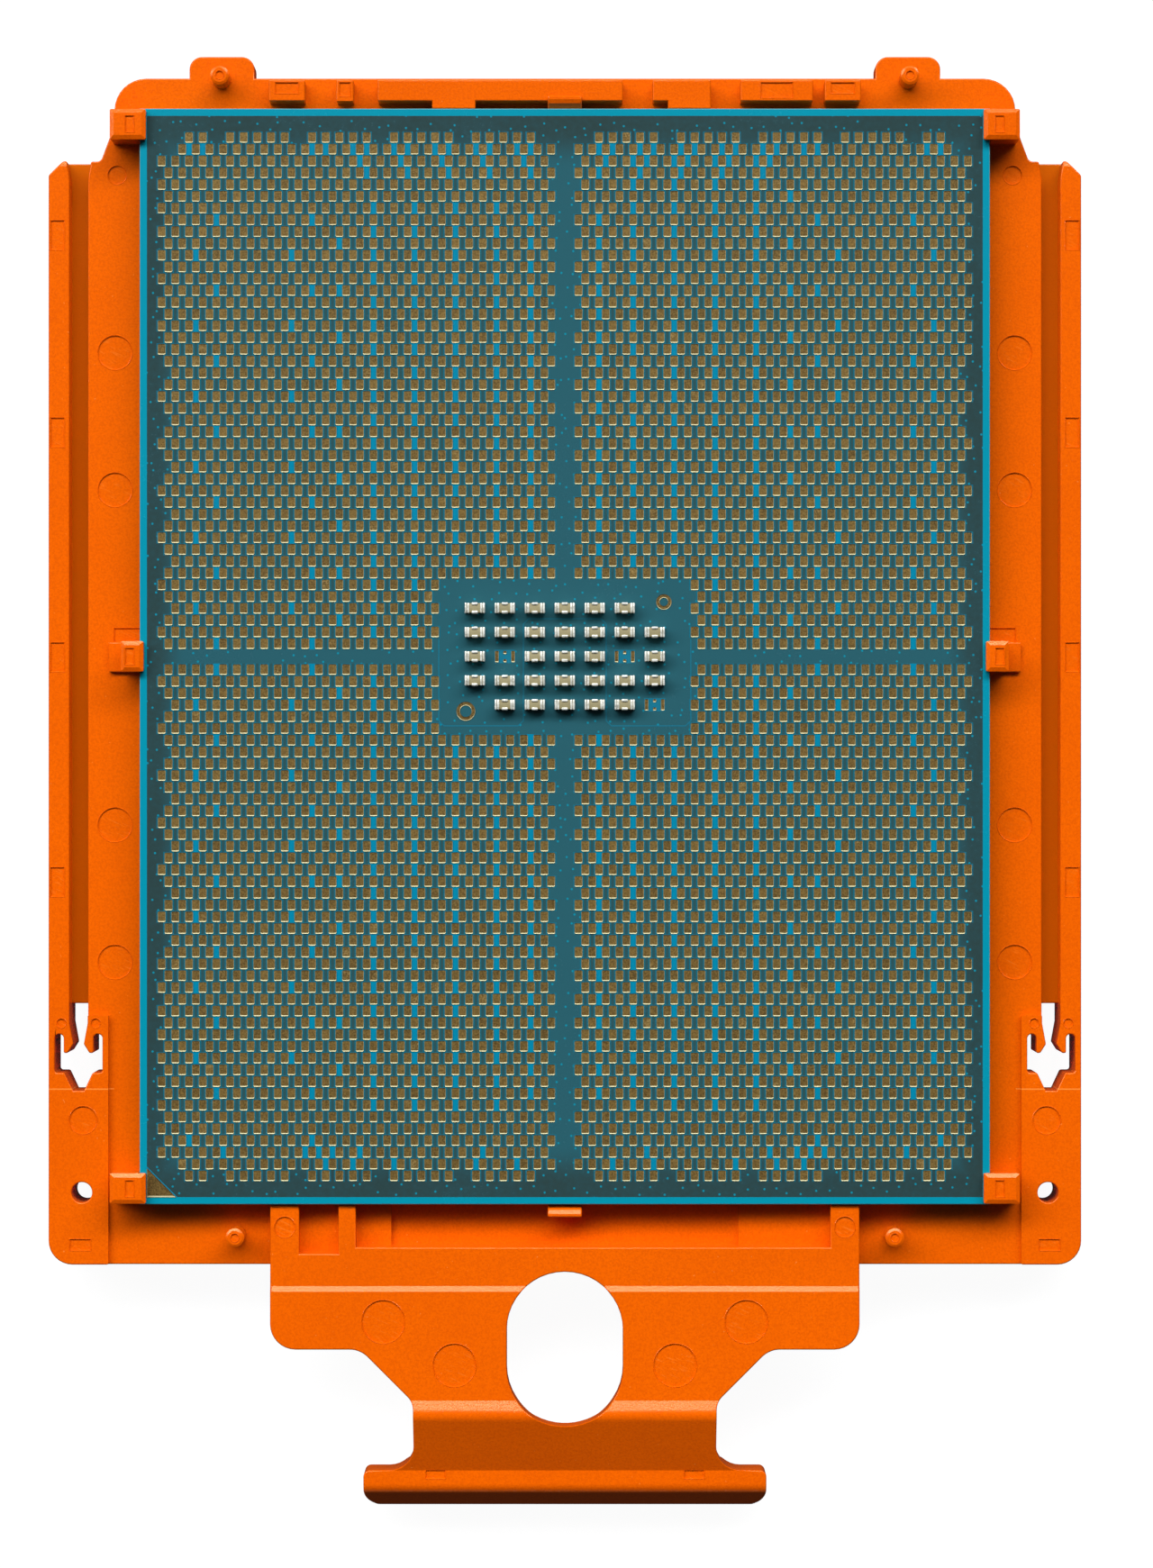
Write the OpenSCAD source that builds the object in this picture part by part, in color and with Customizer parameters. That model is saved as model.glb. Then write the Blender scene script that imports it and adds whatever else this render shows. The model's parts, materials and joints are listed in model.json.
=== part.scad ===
// A land-grid processor package clipped into its moulded carrier frame.
// The origin is the centre of the lid's outer face. +Z points to the contact side,
// and +Y points away from the pull handle.

/* [Package] */
// Width of the substrate
package_w = 58.5; // [57.5:0.1:62]
// Length of the substrate
package_l = 75.4; // [74.5:0.1:80]
// Height from the lid's outer face to the contact face
package_h = 6.26; // [6:0.02:7]
// Thickness of the laminate
substrate_t = 1.9; // [1.5:0.05:2.1]

/* [Contact lands] */
// Distance between neighbouring lands in a row
land_pitch_x = 0.94; // [0.9:0.01:1]
// Distance between neighbouring rows
land_pitch_y = 0.81; // [0.8:0.01:0.9]
// Width of one land
land_w = 0.54; // [0.4:0.01:0.6]
// Length of one land
land_l = 0.73; // [0.5:0.01:0.76]
// Thickness of the land metal, sunk into the contact face
land_t = 0.05; // [0.03:0.01:0.08]
// Rim of the shallow basin around each field of lands
land_rim = 0.04; // [0.02:0.01:0.06]
// From the long centre line to the first land of an odd row
land_street_x = 0.94; // [0.8:0.02:1.4]
// From the cross centre line to the first row
land_street_y = 0.89; // [0.7:0.01:1.3]
// Least distance from the side edge to a land's centre
land_side_margin = 1.5; // [1:0.05:3]
// Least distance from the end edge to a land's centre
land_end_margin = 1.95; // [1.2:0.05:3]
// Width of the window that the lands leave for the capacitors
window_w = 17.4; // [16.6:0.2:20]
// Length of that window
window_l = 10.7; // [10:0.1:14]

/* [Capacitors] */
// Length of a capacitor over its end terminals
cap_w = 1.37; // [1.2:0.01:1.7]
// Width of a capacitor
cap_l = 0.78; // [0.6:0.01:1]
// Height of a capacitor
cap_h = 0.75; // [0.4:0.01:0.9]
// Length of an end terminal
cap_terminal_w = 0.28; // [0.2:0.01:0.35]
// Width of the terminal tab at the middle of each long side
cap_tab_w = 0.26; // [0.16:0.01:0.36]
// How far the terminals stand proud of the ceramic
cap_proud = 0.03; // [0.02:0.01:0.06]
// Distance between capacitor columns
cap_pitch_x = 2.06; // [1.9:0.02:2.3]
// Distance between capacitor rows
cap_pitch_y = 1.66; // [1.5:0.02:1.9]

/* [Marks] */
// Leg of the gold corner triangle
corner_mark_leg = 2; // [1:0.1:3]
// Bare band between the substrate's edge and the corner mark
edge_band = 0.5; // [0.3:0.05:0.8]
// Outer diameter of the large ring
ring_large_d = 1.29; // [1:0.01:1.5]
// Outer diameter of the small ring
ring_small_d = 1.04; // [0.8:0.01:1.2]
// Width of both rings' metal
ring_band = 0.22; // [0.12:0.01:0.3]
// How far a ring lies outward of its capacitor place, along X
ring_shift_x = 0.63; // [0.4:0.01:0.7]
// How far a ring lies outward of its capacitor place, along Y
ring_shift_y = 0.44; // [0.2:0.01:0.6]
// Width of a spare footprint's end pads
spare_pad_w = 0.25; // [0.15:0.01:0.3]
// Side of a spare footprint's middle pads
spare_tab = 0.21; // [0.12:0.01:0.26]

/* [Lid] */
// Width of the lid's raised face
lid_w = 51; // [46:0.5:52]
// Length of the lid's raised face
lid_l = 68; // [62:0.5:69]
// How far the foot reaches beyond the raised face
lid_flange = 1.4; // [0.8:0.1:1.8]
// Height of the raised face above the foot
lid_plateau_h = 2.2; // [1.6:0.1:2.8]
// Width of the glued foot
lid_foot_w = 3; // [2:0.1:4]
// Corner radius of the raised face
lid_corner_r = 2; // [1:0.1:4]
// Chamfer around the raised face
lid_chamfer = 0.3; // [0.1:0.05:0.6]
// Thickness of the glue line
adhesive_t = 0.12; // [0.08:0.01:0.2]

/* [Dies] */
// Thickness of the silicon
die_t = 0.76; // [0.6:0.02:0.8]
// Height of the bump layer under a die
underfill_t = 0.08; // [0.05:0.01:0.1]
// How far the underfill spreads beyond a die
underfill_spread = 0.6; // [0.3:0.05:0.9]
// Thickness of the thermal solder
solder_t = 0.35; // [0.2:0.01:0.4]
// Width of the input and output die
io_die_w = 24.8; // [18:0.2:28]
// Length of the input and output die
io_die_l = 15.6; // [12:0.2:17]
// Width of a compute die
compute_die_w = 9.6; // [8:0.1:10.6]
// Length of a compute die
compute_die_l = 7.6; // [6:0.1:9]
// From the long centre line to the middle of a compute die
compute_die_x = 6.5; // [6.3:0.1:9]
// Clear distance between the middle die and the compute dies
die_gap = 5.4; // [4:0.1:6.5]
// Length of a die-side capacitor
die_cap_w = 1; // [0.6:0.05:1.2]
// Width of a die-side capacitor
die_cap_l = 0.5; // [0.3:0.05:0.8]
// Height of a die-side capacitor
die_cap_h = 0.5; // [0.3:0.05:0.6]
// Distance between die-side capacitors
die_cap_pitch = 2; // [1.6:0.1:2.4]
// Die-side capacitors in one row
die_cap_count = 10; // [4:2:10]

/* [Carrier plate] */
// Thickness of the carrier's plate
carrier_t = 2; // [1.6:0.1:2.4]
// Clearance around the substrate's edge
pocket_gap = 0.05; // [0.03:0.01:0.15]
// Clearance between the lid's foot and the carrier's window
lid_gap = 0.4; // [0.2:0.05:0.5]
// Plate beyond the substrate at the peg end
peg_bar_w = 2.4; // [2.2:0.05:3.4]
// Plate beyond the substrate at the handle end
handle_bar_w = 4.33; // [4:0.05:5.5]
// Plate beyond the substrate's side at the peg end's corners
peg_bar_side = 1.95; // [1.6:0.05:2.4]
// Radius of the peg end's corners
peg_bar_r = 2.2; // [1:0.1:2.2]
// How far the rails stop short of the substrate's end
shoulder_drop = 3.35; // [2.6:0.05:5]
// Plate beyond the substrate's side at the shoulder
shoulder_side = 2.9; // [2.5:0.05:3.2]
// Fillet between the plate's slanted side and the shoulder
shoulder_r = 0.4; // [0.2:0.05:0.6]
// Width of the two end tabs
tab_w = 4.5; // [3.5:0.1:5.5]
// Reach of the tabs beyond the plate
tab_reach = 1.5; // [1:0.1:2.5]
// Corner radius of the tabs
tab_r = 0.87; // [0.3:0.01:1]
// From the long centre line to a tab's middle
tab_x = 23.75; // [22.8:0.05:25]

/* [Rails] */
// From the substrate's side to the rail's outer face
rail_reach = 6.47; // [6.1:0.01:7]
// Thickness of the rails
rail_t = 3.2; // [2.6:0.1:3.6]
// Width of the outer rib
rib_w = 1.45; // [1.2:0.05:1.8]
// Height of the rib and the corner block above the plate
rib_step = 0.34; // [0.2:0.02:0.6]
// Width of the slide groove
groove_w = 1.25; // [1:0.05:1.4]
// Depth of the slide groove below the plate's face
groove_depth = 1.2; // [1:0.05:2]
// Extra width of the groove at each side of its mouth
groove_flare = 0.2; // [0.1:0.02:0.3]
// Length of that flare
groove_lead = 1.2; // [0.6:0.1:2]
// Length of the rib's lead-in slope
rib_lead = 0.38; // [0.2:0.02:0.8]
// How far that slope falls
rib_lead_fall = 0.16; // [0.06:0.02:0.3]
// Chamfer at the rail's leading corner
rail_chamfer = 1; // [0.5:0.05:1.2]
// Radius of the rail's trailing corner
rail_corner_r = 1.65; // [0.8:0.05:2.2]
// Width of the raised corner block
corner_block_w = 4.14; // [3.9:0.02:4.4]
// How far the corner block's end lies behind the snap slot's start
corner_block_drop = 0.75; // [0.2:0.05:1]
// From the plate's handle end to the snap slot's tip
snap_tip_y = 12.03; // [10:0.05:14]
// Length of the snap slot
snap_l = 5.98; // [5.6:0.02:6.6]
// From the slot's start to where it begins to narrow
snap_taper_y = 1.3; // [0.8:0.02:1.6]
// From the slot's start to the side slits' ends
snap_slit_y = 2.06; // [1.8:0.02:2.2]
// From the slot's start to the prongs' narrowest place
snap_neck_y = 2.75; // [2.5:0.02:2.9]
// From the slot's start to the prongs' ends
snap_prong_y = 3.37; // [3.2:0.02:3.7]
// From the slot's start to its pointed end
snap_point_y = 4.73; // [4.3:0.02:5]
// Width over the side slits
snap_w = 3.3; // [3.1:0.05:3.5]
// Width of the side slits
snap_slit_w = 0.62; // [0.4:0.02:0.7]
// Width between the prongs at their narrowest place
snap_neck_w = 0.72; // [0.5:0.02:0.9]
// Width of a prong's flat end
snap_flat_w = 0.28; // [0.26:0.01:0.32]
// Width of the pointed end where it starts
snap_point_w = 1.94; // [1.4:0.02:2.4]
// Width of the pointed end's tip
snap_tip_w = 0.76; // [0.5:0.02:1]
// Small corner radius in the slot
snap_corner_r = 0.12; // [0.06:0.01:0.14]
// Large corner radius in the slot
snap_bend_r = 0.2; // [0.1:0.01:0.22]
// Diameter of the locating holes
locating_hole_d = 1.42; // [1:0.02:1.8]
// From the plate's handle end to the locating holes
locating_hole_y = 5; // [4:0.05:6]
// From the rail's outer face to the locating holes
locating_hole_in = 2.3; // [1.9:0.05:2.6]

/* [Clips and pegs] */
// Width of a side clip along the substrate's edge
clip_l = 2.08; // [1.6:0.02:2.6]
// How far an end clip reaches over the substrate
clip_overlap = 0.47; // [0.35:0.01:0.6]
// How far a middle clip reaches over the substrate
mid_clip_overlap = 0.31; // [0.25:0.01:0.5]
// How far an end clip stands outside the substrate
clip_back = 2; // [1.8:0.05:2.4]
// How far a middle clip stands outside the substrate
mid_clip_back = 1.23; // [1.1:0.01:1.5]
// How far a middle clip's low base reaches outside the substrate
mid_clip_base = 2.27; // [1.7:0.01:2.4]
// Height of the clips above the contact face
clip_rise = 0.62; // [0.4:0.02:0.8]
// Width of the bevel along a clip's top edges
clip_bevel = 0.28; // [0.1:0.02:0.3]
// Height of that bevel
clip_bevel_h = 0.13; // [0.06:0.01:0.3]
// From the substrate's end to the middle of an end clip
clip_inset = 1.15; // [1.1:0.05:2]
// From the substrate's side to the middle of the sink in a clip's top
clip_sink_x = 0.62; // [0.4:0.02:0.7]
// Width of that sink
clip_sink_w = 0.58; // [0.4:0.02:0.6]
// Length of that sink
clip_sink_l = 1.1; // [0.8:0.02:1.1]
// Length of the shallow relief beside a middle clip
relief_l = 0.97; // [0.6:0.01:1.2]
// Reach of that relief outside the substrate
relief_w = 1.95; // [1.4:0.05:2.2]
// Width of the two end lugs
lug_w = 2.36; // [1.6:0.02:3]
// Depth of the end lugs
lug_l = 0.85; // [0.75:0.05:1]
// How far the end lugs stay below the contact face
lug_drop = 0.1; // [0:0.02:0.3]
// Width of a lug's flat top
lug_flat = 0.24; // [0.2:0.01:0.3]
// Width of the bevel between that top and the lead-in slope
lug_bevel = 0.26; // [0.16:0.02:0.34]
// Height of that bevel
lug_bevel_h = 0.11; // [0.06:0.01:0.2]
// Height of the lead-in slope
lug_lead_h = 0.4; // [0.3:0.02:0.8]
// Chamfer along a lug's outer edge
lug_chamfer = 0.08; // [0.04:0.01:0.14]
// Diameter of the pegs
peg_d = 1.28; // [1:0.02:1.6]
// Height of the pegs above the plate
peg_h = 2; // [1.4:0.05:2.6]
// Width of the bevel around a peg's top
peg_bevel = 0.16; // [0.08:0.01:0.2]
// Height of that bevel
peg_bevel_h = 0.08; // [0.04:0.01:0.2]
// Diameter of the dimple in a peg's top
peg_dimple_d = 0.54; // [0.3:0.02:0.6]
// From the plate's peg end inward to the pegs at the tabs
tab_peg_y = 0.1; // [-0.4:0.05:0.6]
// From the long centre line to the pegs beside the handle
handle_peg_x = 22.7; // [21.6:0.05:24]
// From the plate's handle end inward to the pegs beside the handle
handle_peg_y = 2.05; // [1.6:0.05:2.6]
// Height of the stop blocks above the plate
block_h = 1.55; // [1:0.05:1.85]
// Width of the stop blocks along the slide direction
block_l = 1.46; // [1.1:0.02:1.6]
// From the substrate's edge to the stop blocks
block_gap = 0.58; // [0.4:0.02:0.7]
// From a stop block's outer face to the sink in its top
block_sink_y = 0.2; // [0.1:0.02:0.3]

/* [Handle] */
// Width of the handle's root and arms
handle_w = 40.6; // [38.6:0.2:42]
// Thickness of the handle's plate
handle_t = 1.6; // [1.3:0.1:1.8]
// Height of the handle's root above the carrier's plate
root_rise = 1.5; // [1.3:0.05:1.7]
// From the plate's edge to the step in the handle
step_y = 1.34; // [1:0.02:1.6]
// Length of the slope at that step
step_run = 0.36; // [0.2:0.02:0.6]
// Height of that step
step_rise = 0.16; // [0.08:0.02:0.4]
// From the plate's edge to the arms' far edge
arm_l = 5.7; // [5:0.05:6.2]
// Radius of the arms' corners
arm_r = 1.75; // [1:0.05:2.2]
// Width of the neck
neck_w = 20.9; // [19:0.1:23]
// Sideways reach of the sloping edge between arm and neck
neck_slope = 3.65; // [3:0.05:4]
// Radius at the neck's narrow end of that edge
neck_r = 1.3; // [0.8:0.05:1.6]
// From the plate's edge to the ridge across the neck
ridge_y = 9.2; // [8.6:0.05:9.6]
// Height of that ridge
ridge_rise = 0.42; // [0.2:0.02:0.6]
// Length of the slope up to the ridge
ridge_run = 1; // [0.6:0.05:1.3]
// Radius along the ridge's top
ridge_r = 1; // [0.4:0.05:1.2]
// From the plate's edge to the lip
lip_y = 14.25; // [13.6:0.05:15]
// How far the lip lies below the ridge
lip_drop = 1.9; // [1.2:0.05:2.3]
// Length of the lip across the handle
lip_w = 27.9; // [26.6:0.1:31]
// Depth of the lip
lip_l = 2.67; // [2.3:0.01:3]
// Height of the lip's bar
lip_h = 2.6; // [2.3:0.1:2.8]
// Width of the slope at the lip's outer side
lip_taper = 1.3; // [0.8:0.05:1.6]
// Height of the upright edge below that slope
lip_edge = 0.8; // [0.7:0.05:1.2]
// Radius between the lip's top and that slope
lip_r = 0.9; // [0.4:0.05:1.1]
// How far the lip's back lies under the neck
lip_back = 0.6; // [0.3:0.05:1]
// Radius of the lip's outer corners
lip_corner_r = 1.2; // [0.8:0.05:1.8]
// Radius of the lip's inner corners
lip_inner_r = 0.45; // [0.2:0.05:0.6]
// Fillet along the handle's bends
handle_fillet = 0.4; // [0.2:0.05:0.5]
// Width of the finger hole
finger_w = 8; // [6.5:0.1:9]
// Length of the finger hole
finger_l = 10.6; // [9.6:0.1:11.4]
// From the plate's edge to the middle of the finger hole
finger_y = 5.66; // [5.4:0.02:6]

/* [Mould marks] */
// Depth of the ejector marks and sinks
mark_depth = 0.08; // [0.04:0.01:0.15]
// Diameter of the ejector marks beside the package
rail_mark_d = 2.35; // [1.6:0.05:2.5]
// From the substrate's side to the middle of those marks
rail_mark_x = 1.9; // [1.5:0.05:2.1]
// From the cross centre line to the outer ejector marks
rail_mark_far = 21.1; // [18:0.1:24]
// From the cross centre line to the inner ejector marks
rail_mark_near = 11.6; // [8:0.1:14]
// Diameter of the ejector mark at the shoulder
shoulder_mark_d = 1.27; // [0.8:0.01:1.4]
// From the substrate's side to the middle of that mark
shoulder_mark_x = 1.75; // [1.4:0.05:2]
// From the shoulder to the middle of that mark
shoulder_mark_y = 0.95; // [0.8:0.05:1.4]
// Diameter of the ejector mark on the corner block
block_mark_d = 1.9; // [1.2:0.05:2.2]
// From the rail's outer face to the middle of that mark
block_mark_x = 2.4; // [1.8:0.05:2.6]
// From the plate's handle end to the middle of that mark
block_mark_y = 10; // [8:0.1:10.5]
// Diameter of the marks on the snap slot's prongs
prong_mark_d = 0.62; // [0.4:0.02:0.7]
// From the slot's middle line to those marks
prong_mark_x = 1.18; // [1.05:0.01:1.3]
// From the slot's start to those marks
prong_mark_y = 1.3; // [1.15:0.05:1.5]
// Width of the square-cornered mark at the block's foot
foot_mark_w = 1.43; // [1:0.01:1.6]
// Length of that mark
foot_mark_l = 0.75; // [0.5:0.01:1]
// From the rail's outer face to the middle of that mark
foot_mark_x = 2.2; // [2:0.05:2.6]
// From the plate's handle end to the middle of that mark
foot_mark_y = 1.38; // [1:0.02:1.8]
// Width of the square-cornered marks on the ribs
rib_mark_w = 0.93; // [0.6:0.01:1]
// Length of those marks
rib_mark_l = 2; // [1.4:0.05:2.4]
// From the rib's outer face to those marks
rib_mark_in = 0.16; // [0.1:0.02:0.3]
// Distance between those marks
rib_mark_pitch = 15.55; // [14:0.05:17]
// From the cross centre line to the last of those marks
rib_mark_last = 29.2; // [26:0.1:31]
// Diameter of the ejector marks on the handle
handle_mark_d = 2.95; // [2:0.05:3.2]
// From the long centre line to the marks on the arms
arm_mark_x = 12.5; // [11.5:0.1:16]
// From the plate's edge to the marks on the arms
arm_mark_y = 3.77; // [3.4:0.01:4]
// From the long centre line to the marks on the neck
neck_mark_x = 7.6; // [6.5:0.1:8.4]
// From the plate's edge to the marks on the neck
neck_mark_y = 6.77; // [6.4:0.01:7.4]
// From the long centre line to the marks on the lip
lip_mark_x = 8.95; // [4:0.05:10]
// Width of the marks on the lip
lip_mark_w = 1.34; // [0.8:0.02:1.8]
// Length of the marks on the lip
lip_mark_l = 0.56; // [0.3:0.02:0.8]
// Diameter of the marks on the handle's outer posts
post_mark_d = 1.4; // [0.8:0.05:1.6]
// From the handle's side to the middle of those marks
post_mark_x = 1.01; // [0.9:0.01:1.2]
// From the substrate's end to the middle of those marks
post_mark_y = 1.6; // [1.2:0.05:2]

/* [Hidden] */
$fn = 48;
arc_steps = 8;
// How deep raised features are rooted in the plate, and how far cuts overrun
root = 0.5;
over = 1;
// Least flat that is left between two arcs
skin = 0.01;

seat_z = package_h - substrate_t;
foot_w = lid_w + 2 * lid_flange;
foot_l = lid_l + 2 * lid_flange;
// The laminate reaches past the lid's window by no less than the clips' hold on it
ledge_min = lid_gap + clip_overlap;
half_w = max(package_w, foot_w + 2 * ledge_min) / 2;
half_l = max(package_l, foot_l + 2 * ledge_min) / 2;
lid_top_z = seat_z - adhesive_t;
die_z = seat_z - underfill_t;
solder_z = die_z - die_t;
ceiling_z = solder_z - solder_t;
cavity_w = foot_w - 2 * lid_foot_w;
cavity_l = foot_l - 2 * lid_foot_w;
plate_z = seat_z - carrier_t;
rail_z = seat_z - rail_t;
rib_z = seat_z + rib_step;
peg_end_y = half_l + peg_bar_w;
handle_end_y = -half_l - handle_bar_w;
shoulder_y = half_l - shoulder_drop;
rail_x = half_w + rail_reach;
groove_x = rail_x - rib_w - groove_w / 2;
snap_start_y = handle_end_y + snap_tip_y + snap_l;
clip_top_z = package_h + clip_rise;
root_z = seat_z + root_rise;
arm_z = root_z + step_rise;
ridge_z = arm_z + ridge_rise;
lip_z = ridge_z - lip_drop;
lip_start_y = handle_end_y - lip_y;
lip_end_y = lip_start_y - lip_l;
compute_die_y = io_die_l / 2 + die_gap + compute_die_l / 2;
die_cap_y = (io_die_l + die_gap) / 2;

// Capacitor places seen from the contact side: c is filled, p is spare pads, - is none
cap_map = ["cccccc-", "ccccccc", "cpcccpc", "ccccccc", "-cccccp"];
cap_rows = len(cap_map);
cap_columns = len(cap_map[0]);
function places(kind) = [
  for (r = [0 : cap_rows - 1]) for (c = [0 : cap_columns - 1]) if (cap_map[r][c] == kind)
    [(c - (cap_columns - 1) / 2) * cap_pitch_x, ((cap_rows - 1) / 2 - r) * cap_pitch_y]
];
cap_places = places("c");
ring_x = (cap_columns - 1) / 2 * cap_pitch_x + ring_shift_x;
ring_y = (cap_rows - 1) / 2 * cap_pitch_y + ring_shift_y;

function two_digits(i) = str(i < 10 ? "0" : "", i);
function cap_name(i) = str("capacitor_", two_digits(i + 1));
field_names = ["upper_left", "upper_right", "lower_left", "lower_right"];
field_sides = [[-1, 1], [1, 1], [-1, -1], [1, -1]];
compute_sides = field_sides;
function field_name(i) = str("contact_lands_", field_names[i]);
function die_name(kind, i) = str("compute_die_", kind, i + 1);

// Outlines: corners are [x, y, radius], and rounded() replaces each by its arc
function unit(v) = v / norm(v);
function arc_corner(a, p, b) =
  let (
    q = [p[0], p[1]],
    u = unit([a[0], a[1]] - q),
    v = unit([b[0], b[1]] - q),
    half = acos(u * v) / 2,
    c = q + unit(u + v) * p[2] / sin(half),
    s = q + u * p[2] / tan(half) - c,
    e = q + v * p[2] / tan(half) - c,
    from = atan2(s[1], s[0]),
    turn = (atan2(e[1], e[0]) - from + 540) % 360 - 180
  )
  [
    for (i = [0 : arc_steps])
      let (a = from + turn * i / arc_steps) c + p[2] * [cos(a), sin(a)]
  ];
function rounded(p) = [
  for (i = [0 : len(p) - 1])
    each p[i][2] == 0
      ? [[p[i][0], p[i][1]]]
      : arc_corner(p[(i + len(p) - 1) % len(p)], p[i], p[(i + 1) % len(p)])
];
function both_sides(p) = concat(p, [for (i = [len(p) - 1 : -1 : 0]) [-p[i][0], p[i][1], p[i][2]]]);
function plate_outline(w, l, r) = both_sides([[w / 2, l / 2, r], [w / 2, -l / 2, r]]);

module prism(points, z0, z1) {
  translate([0, 0, z0]) linear_extrude(z1 - z0) polygon(points);
}

// A profile in Y and Z, drawn out along X
module along_x(points, x0, x1) {
  translate([x0, 0, 0]) rotate([90, 0, 90]) linear_extrude(x1 - x0) polygon(points);
}

// A profile in X and Z, drawn out along Y
module along_y(points, y0, y1) {
  translate([0, y1, 0]) rotate([90, 0, 0]) linear_extrude(y1 - y0) polygon(points);
}

module box(x0, x1, y0, y1, z0, z1) {
  translate([x0, y0, z0]) cube([x1 - x0, y1 - y0, z1 - z0]);
}

module plate(x, y, w, l, z0, z1) {
  box(x - w / 2, x + w / 2, y - l / 2, y + l / 2, z0, z1);
}

module both_x() {
  children();
  mirror([1, 0, 0]) children();
}

// Contact lands: row 0 is the outermost row and column 0 the outermost land
land_columns = floor((half_w - land_side_margin - land_street_x - land_pitch_x / 2) / land_pitch_x);
land_rows = floor((half_l - land_end_margin - land_street_y) / land_pitch_y);
land_z = package_h - land_t;
// The outermost row skips its first lands and then every sixth one
outer_row_start = 2;
outer_row_period = 6;
// From this row inward, every fourth row lacks its first land
short_row_from = 20;
short_row_period = 4;
function row_shift(r) = r % 2 == 0 ? land_pitch_x / 2 : 0;
function land_x(r, n) = land_street_x + row_shift(r) + (land_columns - n) * land_pitch_x;
function land_y(r) = land_street_y + (land_rows - r) * land_pitch_y;
function first_land(r) = r == 1 || (r >= short_row_from && r % short_row_period == 0) ? 1 : 0;
function last_land(r) =
  land_y(r) > window_l / 2
    ? land_columns
    : ceil(land_columns - (window_w / 2 - land_x(r, land_columns)) / land_pitch_x) - 1;

// One strip of metal stands for the run of lands from column n0 to n1
module land_run(side, r, n0, n1) {
  x0 = land_x(r, n1) - land_w / 2;
  x1 = land_x(r, n0) + land_w / 2;
  plate(side[0] * (x0 + x1) / 2, side[1] * land_y(r), x1 - x0, land_l, land_z, package_h);
}

module land_field(side) {
  for (k = [0 : floor((land_columns + 1) / outer_row_period)]) {
    n0 = max(outer_row_start, k * outer_row_period - 1);
    n1 = min(land_columns, k * outer_row_period + outer_row_period - 3);
    if (n0 <= n1) land_run(side, 0, n0, n1);
  }
  for (r = [1 : land_rows]) land_run(side, r, first_land(r), last_land(r));
}

// Shallow basin of the contact face that holds one field, with the window's corner left standing
window_rows = [for (r = [0 : land_rows]) if (land_y(r) <= window_l / 2) r];
full_rows = [for (r = [0 : land_rows]) if (land_y(r) > window_l / 2) r];
module land_basin(side) {
  reach_x = land_w / 2 + land_rim;
  reach_y = land_l / 2 + land_rim;
  x_in = land_street_x - reach_x;
  x_window = min([for (r = window_rows) land_x(r, last_land(r))]) - reach_x;
  x_out = land_x(0, 0) + reach_x;
  y_in = land_street_y - reach_y;
  y_window = min([for (r = full_rows) land_y(r)]) - reach_y;
  y_out = land_y(0) + reach_y;
  outline = [
    [x_window, y_in], [x_out, y_in], [x_out, y_out],
    [x_in, y_out], [x_in, y_window], [x_window, y_window]
  ];
  prism([for (p = outline) [side[0] * p[0], side[1] * p[1]]], land_z, package_h + over);
}

module contact_lands(i) {
  color("darkgoldenrod") land_field(field_sides[i]);
}

module corner_mark() {
  x = -half_w + edge_band;
  y = -half_l + edge_band;
  color("peru")
    prism([[x, y], [x + corner_mark_leg, y], [x, y + corner_mark_leg]], land_z, package_h);
}

module ring(x, y, d) {
  translate([x, y, land_z]) difference() {
    cylinder(h = land_t, d = d);
    translate([0, 0, -over]) cylinder(h = land_t + 2 * over, d = d - 2 * ring_band);
  }
}

module fiducial_rings() {
  color("gold") {
    ring(-ring_x, -ring_y, ring_large_d);
    ring(ring_x, ring_y, ring_small_d);
  }
}

module spare_footprint_pads() {
  end_x = (cap_w - cap_terminal_w) / 2;
  tab_y = (cap_l - spare_tab) / 2;
  color("peru") for (p = places("p")) {
    for (s = [-1, 1]) {
      plate(p[0] + s * end_x, p[1], spare_pad_w, cap_l, land_z, package_h);
      plate(p[0], p[1] + s * tab_y, spare_tab, spare_tab, land_z, package_h);
    }
  }
}

module substrate() {
  color("teal") difference() {
    plate(0, 0, 2 * half_w, 2 * half_l, seat_z, package_h);
    // the metal is sunk flush into the contact face
    for (side = field_sides) land_basin(side);
    corner_mark();
    fiducial_rings();
    spare_footprint_pads();
  }
}

module capacitor(i) {
  top_z = package_h + cap_h;
  color("tan") translate([cap_places[i][0], cap_places[i][1], 0]) {
    plate(0, 0, cap_w - 2 * cap_proud, cap_l - 2 * cap_proud, package_h, top_z - cap_proud);
    for (s = [-1, 1])
      plate(s * (cap_w - cap_terminal_w) / 2, 0, cap_terminal_w, cap_l, package_h, top_z);
    plate(0, 0, cap_tab_w, cap_l, package_h, top_z - 2 * cap_proud);
  }
}

// Section of the lid's raised face, chamfered at its outer edge
function chamfered_profile(w) = [
  [-w / 2 + lid_chamfer, 0],
  [w / 2 - lid_chamfer, 0],
  [w / 2, lid_chamfer],
  [w / 2, lid_plateau_h + root],
  [-w / 2, lid_plateau_h + root],
  [-w / 2, lid_chamfer]
];

// Lid, with its raised face down at z = 0
module heat_spreader() {
  color("silver") difference() {
    union() {
      prism(rounded(plate_outline(foot_w, foot_l, lid_corner_r)), lid_plateau_h, lid_top_z);
      intersection() {
        prism(rounded(plate_outline(lid_w, lid_l, lid_corner_r)), 0, lid_plateau_h + root);
        along_y(chamfered_profile(lid_w), -lid_l, lid_l);
        along_x(chamfered_profile(lid_l), -lid_w, lid_w);
      }
    }
    prism(rounded(plate_outline(cavity_w, cavity_l, lid_corner_r)), ceiling_z, lid_top_z + over);
  }
}

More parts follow.
